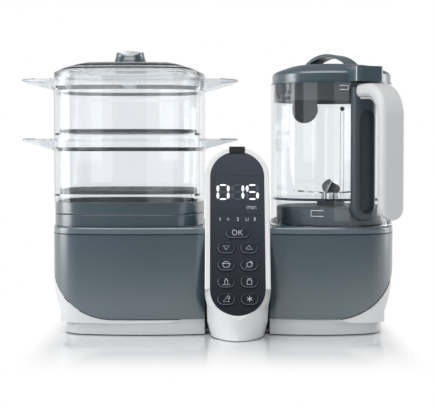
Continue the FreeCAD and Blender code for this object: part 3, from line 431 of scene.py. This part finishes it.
def reshaped(node, body, move, cuts=()):    # a solid's form, cut by some planes, with its points moved
    work = bmesh.new()
    work.from_mesh(nodes[node].data)
    bmesh.ops.remove_doubles(work, verts=work.verts, dist=fineWeld)
    for point, normal in cuts:
        bmesh.ops.bisect_plane(work, geom=work.verts[:] + work.edges[:] + work.faces[:],
                               plane_co=point, plane_no=normal)
    for vertex in work.verts:
        vertex.co = move(vertex.co.copy())
    smoothed(work)
    mesh = meshFrom(work, node + "Form")
    if "custom_normal" in mesh.attributes:
        mesh.attributes.remove(mesh.attributes["custom_normal"])
    mesh.set_sharp_from_angle(angle=formAngle)
    standFor(node, node.replace("_", "") + "Form", mesh, body)


lidForm = {"levels": [0.0, 3.0, 6.4, 11.6, 17.6, 22.2], "to": [0.0, 8.0, 9.2, 11.3, 14.9, 19.1]}
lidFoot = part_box("steam_lid")[0].z


def lowerLid(point):                        # a taller rim and a flatter dome
    rise = (point.z - lidFoot) / mm
    steps = list(zip(lidForm["levels"], lidForm["to"]))
    for (low, newLow), (high, newHigh) in zip(steps, steps[1:]):
        if rise <= high or high == lidForm["levels"][-1]:
            point.z = lidFoot + (newLow + (rise - low) * (newHigh - newLow) / (high - low)) * mm
            return point


reshaped("steam_lid", "steam_cover", lowerLid)

wingForm = {"raise": 3.5 * mm, "drop": 3.6 * mm, "half": 46.0 * mm, "edge": 0.7 * mm, "steps": 24,
            "spread": 52.0,
            "baskets": [("lower_basket", "basket_low", "lowWing"),
                        ("upper_basket", "basket_high", "highWing")]}
lidLow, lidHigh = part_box("steam_lid")
lidAxis = (lidLow + lidHigh) / 2
lidHalf = (lidHigh.x - lidLow.x) / 2
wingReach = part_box("upper_basket")[1].x - lidAxis.x
wingRun = wingReach - lidHalf
wingRadius = (wingRun ** 2 + wingForm["half"] ** 2) / (2 * wingRun)     # arc from root to root by the tip


def wingLift(x):                            # how much a point of a wing is raised: nothing at the root
    return wingForm["raise"] * max(0.0, abs(x - lidAxis.x) - lidHalf) / wingRun


def raiseWings(point):
    point.z += wingLift(point.x)
    return point


def wingEdge(rim):                          # finds places on the upper edge of a wing
    def place(angle, side):
        out = wingReach - wingRadius * (1.0 - math.cos(math.radians(angle)))
        x = lidAxis.x + side * out
        fall = wingForm["drop"] * max(0.0, out - lidHalf) / wingRun
        return x, lidAxis.y + wingRadius * math.sin(math.radians(angle)), rim - fall + wingLift(x)
    return place


angles = [wingForm["spread"] * (2 * i / wingForm["steps"] - 1) for i in range(wingForm["steps"] + 1)]
wingLines = [[(angle, side) for angle in angles] for side in (-1, 1)]
for node, body, name in wingForm["baskets"]:
    reshaped(node, body, raiseWings)
    edges = strokes(wingLines, wingForm["edge"], wingEdge(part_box(node)[1].z))
    # grey line along each wing's upper edge: painted shade
    keep(name + "Edges", edges, body, ribGrey)

columnForm = {"overhang": 16.0 * mm, "raised": 40.0 * mm, "near": 0.5 * mm}
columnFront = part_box("centre_column")[0].y


def raiseFront(point):                      # the sloping front starts higher, behind the panel's foot
    if abs(point.z - columnForm["overhang"]) < columnForm["near"]:
        up = columnForm["raised"] - columnForm["overhang"]
        if point.y < columnFront + columnForm["near"]:
            point.y += up * outward.z / -outward.y
        point.z += up
    return point


reshaped("centre_column", "base", raiseFront)

handleForm = {"turn": math.radians(65.5), "half": 13.0 * mm,
              "cuts": [0.04, 0.12, 0.25, 0.42, 0.62, 0.82, 1.0]}
handleAcross = Vector((math.sin(handleForm["turn"]), math.cos(handleForm["turn"]), 0.0))
jugLow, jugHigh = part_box("jug_body")
jugAxis = (jugLow + jugHigh) / 2


def roundEnd(foot):                         # moves points so that the lower end is a half round
    def move(point):
        down = max(0.0, foot + handleForm["half"] - point.z) / handleForm["half"]
        width = (point - jugAxis).dot(handleAcross)
        return point + handleAcross * width * (math.sqrt(max(0.0, 1.0 - down * down)) - 1.0)
    return move


for node in ("handle_grip", "handle_column"):
    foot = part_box(node)[0].z
    levels = [foot + share * handleForm["half"] for share in handleForm["cuts"]]
    reshaped(node, "jug", roundEnd(foot), [((0.0, 0.0, level), (0.0, 0.0, 1.0)) for level in levels])

noseForm = {"half": 12.0 * mm, "back": 2.6 * mm, "deep": 16.0 * mm, "high": 24.0 * mm, "fade": 14.0 * mm,
            "steps": 6}
standLow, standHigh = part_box("panel_stand")
standMiddle = (standLow.x + standHigh.x) / 2


def roundNose(point):                       # the ridge of the foot's prow becomes a soft nose
    share = max(0.0, 1.0 - abs(point.x - standMiddle) / noseForm["half"])
    below = min(1.0, max(0.0, noseForm["high"] - point.z) / noseForm["fade"])
    if point.y < standLow.y + noseForm["deep"]:
        point.y += noseForm["back"] * share * share * below
    return point


noseSteps = range(-noseForm["steps"], noseForm["steps"] + 1)
sides = [standMiddle + noseForm["half"] * i / noseForm["steps"] for i in noseSteps]
reshaped("panel_stand", "base", roundNose, [((x, 0.0, 0.0), (1.0, 0.0, 0.0)) for x in sides])
print("forms fitted")


# Knob of the steamer's lid: a turned foot, a saddle across its top and a pale insert in it

knobForm = {"foot": [(0.0, 0.0), (18.0, 0.0), (17.2, 3.0), (16.2, 5.5), (15.2, 9.0), (14.7, 12.4),
                     (14.0, 13.3), (12.8, 13.6), (9.6, 13.6), (6.4, 13.6), (3.2, 13.6), (0.0, 13.6)],
            "insert": [(0.0, 8.0), (11.8, 8.0), (11.8, 13.6), (9.0, 14.2), (5.0, 14.8), (0.0, 15.0)],
            "dip": 4.8, "reach": 13.6, "still": 5.5, "steps": 48}


def turned(profile):                        # a profile in mm spun round the upright axis
    work = bmesh.new()
    points = [work.verts.new((radius * mm, 0.0, height * mm)) for radius, height in profile]
    edges = [work.edges.new(pair) for pair in zip(points, points[1:])]
    bmesh.ops.spin(work, geom=points + edges, cent=(0.0, 0.0, 0.0), axis=(0.0, 0.0, 1.0),
                   dvec=(0.0, 0.0, 0.0), angle=2 * math.pi, steps=knobForm["steps"], use_merge=True)
    bmesh.ops.remove_doubles(work, verts=work.verts, dist=weld)
    bmesh.ops.recalc_face_normals(work, faces=work.faces)
    smoothed(work)
    return work


def valley(x):                              # how far the saddle lies below the knob's ears
    return knobForm["dip"] * mm * max(0.0, 1.0 - (x / (knobForm["reach"] * mm)) ** 2)


knobLow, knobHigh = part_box("steam_lid_knob")
knobPlace = Matrix.Translation(((knobLow.x + knobHigh.x) / 2, (knobLow.y + knobHigh.y) / 2,
                                lidFoot + lidForm["to"][-1] * mm))
knobRise = knobForm["foot"][-1][1] - knobForm["still"]
for node, part in (("steam_lid_knob", "foot"), ("steam_knob_cap", "insert")):
    work = turned(knobForm[part])
    for vertex in work.verts:
        if part == "foot":                  # what lies low stays, the ears and the valley are drawn apart
            share = max(0.0, vertex.co.z / mm - knobForm["still"]) / knobRise
            vertex.co.z -= valley(vertex.co.x) * share
    mesh = meshFrom(work, node)
    mesh.set_sharp_from_angle(angle=formAngle)
    mesh.transform(knobPlace)
    standFor(node, "knob" + part.capitalize(), mesh, "steam_cover")
print("knob turned")


# Lip that carries the tab's black down to the face

lipForm = {"half": 7.8 * mm, "overlap": 1.5 * mm, "thick": 1.2 * mm, "edge": 0.3 * mm, "sink": 0.4,
           "segments": 2}
tabPlace = faceOf("panel_clip")[0]
facePlace = faceOf("panel_facia")[0]
faceHalf = faceOf("panel_facia")[2]
lipHigh = tabPlace.translation.dot(upward)
lipLow = facePlace.translation.dot(upward) + faceHalf - lipForm["overlap"]
lip = bmesh.new()
bmesh.ops.create_cube(lip, size=1.0)
bmesh.ops.scale(lip, verts=lip.verts, vec=(2 * lipForm["half"], lipHigh - lipLow, lipForm["thick"]))
rounded(lip, lip.edges, lipForm["edge"], lipForm["segments"])
lipMesh = meshFrom(lip, "lip")
lipShift = (0.0, (lipLow - lipHigh) / 2, -lipForm["sink"] * lipForm["thick"])
lipMesh.transform(tabPlace @ Matrix.Translation(lipShift))
keep("tabLip", lipMesh, "base", finishes["black_plastic"])
print("lip placed")


# Cheeks that close the notch between the stand's flanks and its foot

cheekForm = {"inner": 19.5 * mm, "high": 35.0 * mm}
for side, name in ((-1, "cheekLeft"), (1, "cheekRight")):
    cheek = bmesh.new()
    for vertex in nodes["panel_stand"].data.vertices:
        if (vertex.co.x - standMiddle) * side > cheekForm["inner"] and vertex.co.z < cheekForm["high"]:
            cheek.verts.new(vertex.co)
    bmesh.ops.remove_doubles(cheek, verts=cheek.verts, dist=weld)
    made = bmesh.ops.convex_hull(cheek, input=cheek.verts)
    bmesh.ops.delete(cheek, geom=made["geom_interior"], context="VERTS")
    keep(name, meshFrom(cheek, name), "base", finishes["white_plastic"])
print("cheeks closed")


# Keys: a pillow, a thin light ring that is a painted highlight along the raised edge, and a sign on each, in
# millimetres from the key's centre

def spoke(radius, angle):                   # a line through the centre
    x = radius * math.cos(math.radians(angle))
    y = radius * math.sin(math.radians(angle))
    return [(x, y), (-x, -y)]


keySigns = {
    "width": 0.5, "ring": 0.42, "inset": 0.75, "lift": 0.62, "segments": 32,
    "pillow": [(0.5, 0.3), (0.9, 0.22), (1.4, 0.13), (1.4, 0.05)],      # steps in and up from the outline
    "ok": [ring(-3.0, 0.0, 2.2, 2.7), [(1.2, -2.7), (1.2, 2.7)], [(4.6, 2.7), (1.3, -0.2)],
           [(2.4, 0.7), (4.8, -2.7)]],
    "down": [[(-3.2, 1.8), (3.2, 1.8), (0.0, -2.4), (-3.2, 1.8)]],
    "up": [[(-3.2, -1.8), (3.2, -1.8), (0.0, 2.4), (-3.2, -1.8)]],
    "steam": [[(-3.6, 0.6), (-2.4, -2.8), (2.4, -2.8), (3.6, 0.6)], [(-4.4, 1.0), (4.4, 1.0)],
              arc(0, 1.0, 2.6, 2.2, 0, 180)],
    "pot": [ring(0.2, -0.2, 2.6, 2.4), arc(1.4, 1.4, 1.8, 1.8, -20, 130), [(-2.6, -2.6), (-3.4, -3.2)]],
    "bottle": [[(-1.5, -3.2), (1.5, -3.2), (1.5, 0.6), (0.8, 1.6), (0.8, 3.0), (-0.8, 3.0), (-0.8, 1.6),
                (-1.5, 0.6), (-1.5, -3.2)], [(-3.8, -3.2), (-2.4, -3.2)], [(2.4, -3.2), (3.8, -3.2)]],
    "jar": [[(-1.9, 1.7), (-2.3, 1.0), (-2.3, -3.0), (2.3, -3.0), (2.3, 1.0), (1.9, 1.7), (-1.9, 1.7)],
            [(-1.7, 3.0), (1.7, 3.0)]],
    "warm": [[(-3.0, -2.8), (3.0, -2.8), (0.9, 2.4), (-3.0, -2.8)], arc(2.0, 1.4, 1.5, 1.5, -90, 120)],
    "frost": [spoke(3.1, angle) for angle in (30, 90, 150)],
}


def pillowMesh(halfX, halfY):
    work = bmesh.new()
    made = bmesh.ops.create_circle(work, cap_ends=True, segments=keySigns["segments"], radius=halfY * mm)
    for side in (-1, 1):
        end = [vertex for vertex in made["verts"] if vertex.co.x * side > weld]
        bmesh.ops.translate(work, verts=end, vec=(side * (halfX - halfY) * mm, 0.0, 0.0))
    top = work.faces[:]
    for inward, rise in keySigns["pillow"]:
        bmesh.ops.inset_region(work, faces=top, thickness=inward * mm, depth=rise * mm, use_even_offset=True)
    smoothed(work)
    return meshFrom(work, "pillow")


for name in [n for n in nodes if n.endswith("_button")]:
    key = name.replace("_button", "")
    place, halfU, halfV = faceOf(name)
    halfX = halfU / mm - keySigns["inset"]
    halfY = halfV / mm - keySigns["inset"]
    pillow = pillowMesh(halfX, halfY)
    pillow.transform(place)
    keep(key + "Pillow", pillow, key + "_key", keySlate)
    # light ring: painted highlight along the key's raised edge
    outline = strokes([capsule(halfX, halfY)], keySigns["ring"] * mm)
    outline.transform(place)
    keep(key + "Outline", outline, key + "_key", keyRing)
    sign = strokes(keySigns[key], keySigns["width"] * mm)
    sign.transform(place @ Matrix.Translation((0.0, 0.0, keySigns["lift"] * mm)))
    keep(key + "Sign", sign, key + "_key", signPrint)
print("keys signed")


# Display, in millimetres: three digits of seven bars, the unit under them and a row of numbers below

display = {"digits": ["abcdef", "bc", "acdfg"], "centres": [-14.4, 0.4, 15.2], "halfX": 5.2, "halfY": 7.5,
           "lift": 3.4, "thickUpright": 3.0, "thickLevel": 1.9, "lengthUpright": 6.9, "lengthLevel": 7.4,
           "barSides": 8, "barProud": 0.05,
           "hump": [[(0.0, -1.5), (0.0, 1.5)],
                    [(0.0, 0.8)] + arc(1.1, 0.7, 1.1, 0.8, 180, 0, 8) + [(2.2, -1.5)]],
           "humpShifts": (-4.6, -2.4, 2.2), "stem": [[(1.0, -1.5), (1.0, 0.7)], [(1.0, 1.5), (1.0, 1.9)]],
           "unitWidth": 0.4, "unitPlace": (14.2, -13.4), "rowHeight": 5.0, "rowDrop": 25.6, "rowWidth": 0.4,
           "rowTexts": [("1", -17.4), ("2", 0.4), ("3", 17.2)],
           "rowMarks": [(-9.4, [(-1.3, 0.0), (0.0, 1.4), (1.3, 0.0), (0.0, -1.4), (-1.3, 0.0)]),
                        (9.6, [(-1.2, 1.5), (-1.2, -1.5), (1.2, -1.5), (1.2, 1.5)])]}


def bar(work, x, y, length, thick, upright):            # an eight-sided disc, 1 mm across, drawn out
    made = bmesh.ops.create_circle(work, cap_ends=True, segments=display["barSides"], radius=mm / 2)["verts"]
    size = (thick, length, 1.0) if upright else (length, thick, 1.0)
    bmesh.ops.scale(work, verts=made, vec=size)
    bmesh.ops.translate(work, verts=made, vec=(x * mm, y * mm, display["barProud"] * mm))


def digitBars():
    halfX, halfY = display["halfX"], display["halfY"]
    upright, level = display["lengthUpright"], display["lengthLevel"]
    return {"a": (0, halfY, level, False), "b": (halfX, halfY / 2, upright, True),
            "c": (halfX, -halfY / 2, upright, True), "d": (0, -halfY, level, False),
            "e": (-halfX, -halfY / 2, upright, True), "f": (-halfX, halfY / 2, upright, True),
            "g": (0, 0, level, False)}


windowFace = faceOf("display_window")[0]
for name, lit, finish in (("digitsLit", True, signLit), ("digitsResting", False, signResting)):
    work = bmesh.new()
    for digit, centre in zip(display["digits"], display["centres"]):
        for letter, (x, y, length, isUpright) in digitBars().items():
            if (letter in digit) == lit:
                thick = display["thickUpright"] if isUpright else display["thickLevel"]
                bar(work, centre + x, y + display["lift"], length, thick, isUpright)
    mesh = meshFrom(work, "digits")
    mesh.transform(windowFace)
    keep(name, mesh, "base", finish)

humps = [[(x + shift, y) for x, y in line] for shift in display["humpShifts"] for line in display["hump"]]
unit = strokes(humps + display["stem"], display["unitWidth"] * mm)
unit.transform(windowFace @ Matrix.Translation(Vector((*display["unitPlace"], 0.0)) * mm))
keep("unitSign", unit, "base", signPrint)

rowPlace = windowFace.copy()
rowPlace.translation += outward * (facePlace.translation - windowFace.translation).dot(outward)


def inRow(name, mark, x):                   # a mark in the row under the window
    mark.transform(rowPlace @ Matrix.Translation(Vector((x, -display["rowDrop"], 0.0)) * mm))
    keep(name, mark, "base", signPrint)


for text, x in display["rowTexts"]:
    inRow("rowNumber" + text, lettering(text, display["rowHeight"]), x)
for i, (x, shape) in enumerate(display["rowMarks"]):
    inRow("rowMark" + str(i + 1), strokes([shape], display["rowWidth"] * mm), x)
print("display drawn")


def onFront(node, x, z):                    # where a level line from the front meets a solid
    hit, point = nodes[node].ray_cast(Vector((x, -1.0, z)), Vector((0.0, 1.0, 0.0)))[:2]
    return point if hit else None


# Painted shade in the seams: dark lines along the upper edge of each cradle, and along the top of each slate shell

seamForm = {"width": 1.0 * mm, "margin": 2.0 * mm, "steps": 60, "halvings": 16}
seamDark = signFinish("seamDark", rgb(26, 32, 37), 0.0)


def upperEdge(node, x):                     # highest place on a solid's front at this x
    low, high = (corner.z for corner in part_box(node))
    best = None
    for i in range(seamForm["halvings"]):
        middle = (low + high) / 2
        point = onFront(node, x, middle)
        low, high, best = (middle, high, point) if point else (low, middle, best)
    return best


for node in ("left_cradle", "right_cradle", "left_housing", "right_housing"):
    seamLow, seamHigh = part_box(node)
    start, end = seamLow.x + seamForm["margin"], seamHigh.x - seamForm["margin"]
    places = [start + (end - start) * i / seamForm["steps"] for i in range(seamForm["steps"] + 1)]
    spots = [upperEdge(node, x) for x in places]
    spots = [spot for spot in spots if spot]
    seam = strokes([[(i, 0) for i in range(len(spots))]], seamForm["width"], lambda i, row: spots[i])
    side, kind = node.split("_")
    keep(side + kind.capitalize() + "Seam", seam, "base", seamDark)
print("seams drawn")


# Marks moulded on the front of the jug; the grey lines along the rib's sides are painted shade

jugMarks = {"x": 0.1372, "ribLow": 0.141, "ribHigh": 0.225, "ribWidth": 3.4 * mm, "ribProud": 0.5 * mm,
            "ribRound": 0.8, "ribSegments": 3, "ribLine": 0.5 * mm, "dotLevel": 0.2282, "dotRadius": 2.3 * mm,
            "dotFlat": 0.25, "dotSegments": 16, "dotRings": 8, "signWidth": 0.9 * mm,
            "signs": {"lockSign": (0.1389, 0.2496, 4.3, 2.0), "holderSign": (0.1128, 0.1231, -6.1, 2.9)}}


def ribMesh(x, low, high, width, proud):
    work = bmesh.new()
    bmesh.ops.create_cube(work, size=1.0)
    bmesh.ops.scale(work, verts=work.verts, vec=(width, 2 * proud, high - low))
    edges = [edge for edge in work.edges if all(vertex.co.y < 0 for vertex in edge.verts)]
    rounded(work, edges, proud * jugMarks["ribRound"], jugMarks["ribSegments"])
    middle = (low + high) / 2
    bmesh.ops.translate(work, verts=work.verts, vec=(x, onFront("jug_body", x, middle).y, middle))
    return meshFrom(work, "rib")


keep("jugRib", ribMesh(jugMarks["x"], jugMarks["ribLow"], jugMarks["ribHigh"], jugMarks["ribWidth"],
                       jugMarks["ribProud"]), "jug", finishes["clear_plastic"])
ribSides = [[(side * jugMarks["ribWidth"] / 2, jugMarks[level]) for level in ("ribLow", "ribHigh")]
            for side in (-1, 1)]
ribLines = strokes(ribSides, jugMarks["ribLine"], lambda u, v: onFront("jug_body", jugMarks["x"] + u, v))
# grey lines along the rib's sides: painted shade
keep("jugRibEdges", ribLines, "jug", ribGrey)
for name, (x, z, half, rise) in jugMarks["signs"].items():      # two bars, closed at one end
    lines = [[(-half, rise), (half, rise), (half, -rise), (-half, -rise)]]
    mark = strokes(lines, jugMarks["signWidth"], lambda u, v: onFront("jug_body", x + u * mm, z + v * mm))
    keep(name, mark, "jug", finishes["white_plastic"])
dot = bmesh.new()
bmesh.ops.create_uvsphere(dot, u_segments=jugMarks["dotSegments"], v_segments=jugMarks["dotRings"],
                          radius=jugMarks["dotRadius"])
bmesh.ops.scale(dot, verts=dot.verts, vec=(1.0, jugMarks["dotFlat"], 1.0))
bmesh.ops.translate(dot, verts=dot.verts, vec=onFront("jug_body", jugMarks["x"], jugMarks["dotLevel"]))
keep("jugDot", meshFrom(dot, "dot"), "jug", finishes["dark_plastic"])
print("jug marked")


# Stage: pale floor, white surroundings, soft boxes and the camera

studio = {"floorTone": rgb(224, 225, 227), "floorSize": 8.0, "floorGloss": 0.1, "ambient": 0.45,
          "fades": [("X", 1.0, 0.172, 0.2), ("X", -1.0, 0.138, 0.168), ("Y", 1.0, 0.1, 0.2),
                    ("Y", -1.0, 0.09, 0.28)],
          "floorDim": (0.12, 0.85, 0.08), "ceilingDim": (0.05, 0.45, 0.2), "roomDim": (-0.3, 0.4, 0.06),
          "aim": (0.0, 0.0, 0.13),
          "boxes": [("leftBox", (-1.2, -0.1, 0.42), (0.7, 0.8), 6.5),
                    ("rightBox", (1.1, 0.4, 0.42), (0.5, 0.8), 3.0),
                    ("topBox", (-0.1, -0.45, 1.35), (1.3, 0.9), 8.0)],
          "fills": [("fillLeft", (-0.9, -1.3, 0.5), (0.8, 0.7), 4.5),
                    ("fillRight", (0.5, -1.4, 0.3), (0.7, 0.6), 2.2)]}
camera = {"place": (0.0122, -1.2664, 0.187), "drop": 2.6, "lens": 99.3, "sensor": 36.0, "near": 0.01}


def rays(pen, *kinds):                      # 1 on rays of these kinds
    found = 0.0
    for kind in kinds:
        found = pen.sum("MAXIMUM", pen.add("LightPath", {}, {}, "Is " + kind + " Ray"), found)
    return found


def eased(pen, value, near, far, last):     # from 1 at near to last at far
    return pen.add("MapRange", {"interpolation_type": "SMOOTHSTEP"},
                   {"Value": value, "From Min": near, "From Max": far, "To Min": 1.0, "To Max": last})


def floorFinish():
    material, pen = newMaterial("paleFloor")
    place = pen.add("TexCoord", {}, {}, "Object")
    inside = 1.0
    for axis, side, near, far in studio["fades"]:       # plain white outside a box round the object
        along = pen.add("SeparateXYZ", {}, {"Vector": place}, axis) * side
        inside = eased(pen, along, near, far, 0.0) * inside
    ground = pen.add("BsdfPrincipled", {}, {"Base Color": studio["floorTone"],
                                            "Roughness": studio["floorGloss"]})
    ahead = pen.add("SeparateXYZ", {}, {"Vector": place}, "Y") * -1.0
    dim = 1.0 - eased(pen, ahead, *studio["floorDim"])  # in gloss the floor ends in a dimmer room
    mirror = rays(pen, "Glossy") * (1.0 - rays(pen, "Transmission"))
    lit = pen.add("Emission", {}, {"Color": white, "Strength": 1.0})
    unlit = pen.add("Emission", {}, {"Color": black, "Strength": 0.0})
    plain = pen.add("MixShader", {}, {0: dim * mirror, 1: lit, 2: unlit})
    outside = (1.0 - inside) * rays(pen, "Camera", "Glossy", "Transmission")
    both = pen.add("MixShader", {}, {0: outside, 1: ground, 2: plain})
    pen.add("OutputMaterial", {}, {"Surface": both})
    return material


def buildStage():
    work = bmesh.new()
    bmesh.ops.create_grid(work, x_segments=1, y_segments=1, size=studio["floorSize"] / 2)
    mesh = meshFrom(work, "floor")
    mesh.materials.append(floorFinish())
    floor = bpy.data.objects.new("floor", mesh)
    bpy.context.scene.collection.objects.link(floor)

    world = bpy.data.worlds.new("studioWhite")
    world.use_nodes = True
    world.node_tree.nodes.clear()
    pen = Socket(world.node_tree)
    direction = pen.add("TexCoord", {}, {}, "Generated")
    ceiling = eased(pen, pen.add("SeparateXYZ", {}, {"Vector": direction}, "Z"), *studio["ceilingDim"])
    room = eased(pen, pen.add("SeparateXYZ", {}, {"Vector": direction}, "Y") * -1.0, *studio["roomDim"])
    through = rays(pen, "Transmission")
    mirror = rays(pen, "Glossy") * (1.0 - through)      # gloss sees a dim room on the camera's side
    strength = (studio["ambient"] + rays(pen, "Camera") * (1.0 - studio["ambient"])
                + through * (ceiling - studio["ambient"]) + mirror * (ceiling * room - studio["ambient"]))
    light = pen.add("Background", {}, {"Color": white, "Strength": strength})
    pen.add("OutputWorld", {}, {"Surface": light})
    bpy.context.scene.world = world

    fillNames = [row[0] for row in studio["fills"]]
    for name, place, size, power in studio["boxes"] + studio["fills"]:
        lamp = bpy.data.lights.new(name, "AREA")
        lamp.shape = "RECTANGLE"
        lamp.size, lamp.size_y = size
        lamp.energy = power
        box = bpy.data.objects.new(name, lamp)
        box.location = place
        box.rotation_euler = (Vector(studio["aim"]) - Vector(place)).to_track_quat("-Z", "Y").to_euler()
        box.visible_glossy = name not in fillNames      # fills leave no streaks
        bpy.context.scene.collection.objects.link(box)

    lens = bpy.data.cameras.new("photoCamera")
    lens.lens = camera["lens"]
    lens.sensor_width = camera["sensor"]
    lens.clip_start = camera["near"]
    eye = bpy.data.objects.new("photoCamera", lens)
    eye.location = camera["place"]
    eye.rotation_euler = (math.radians(90.0 - camera["drop"]), 0.0, 0.0)
    bpy.context.scene.collection.objects.link(eye)
    bpy.context.scene.camera = eye
    bpy.context.scene.view_settings.view_transform = "Standard"


buildStage()
print("stage set")
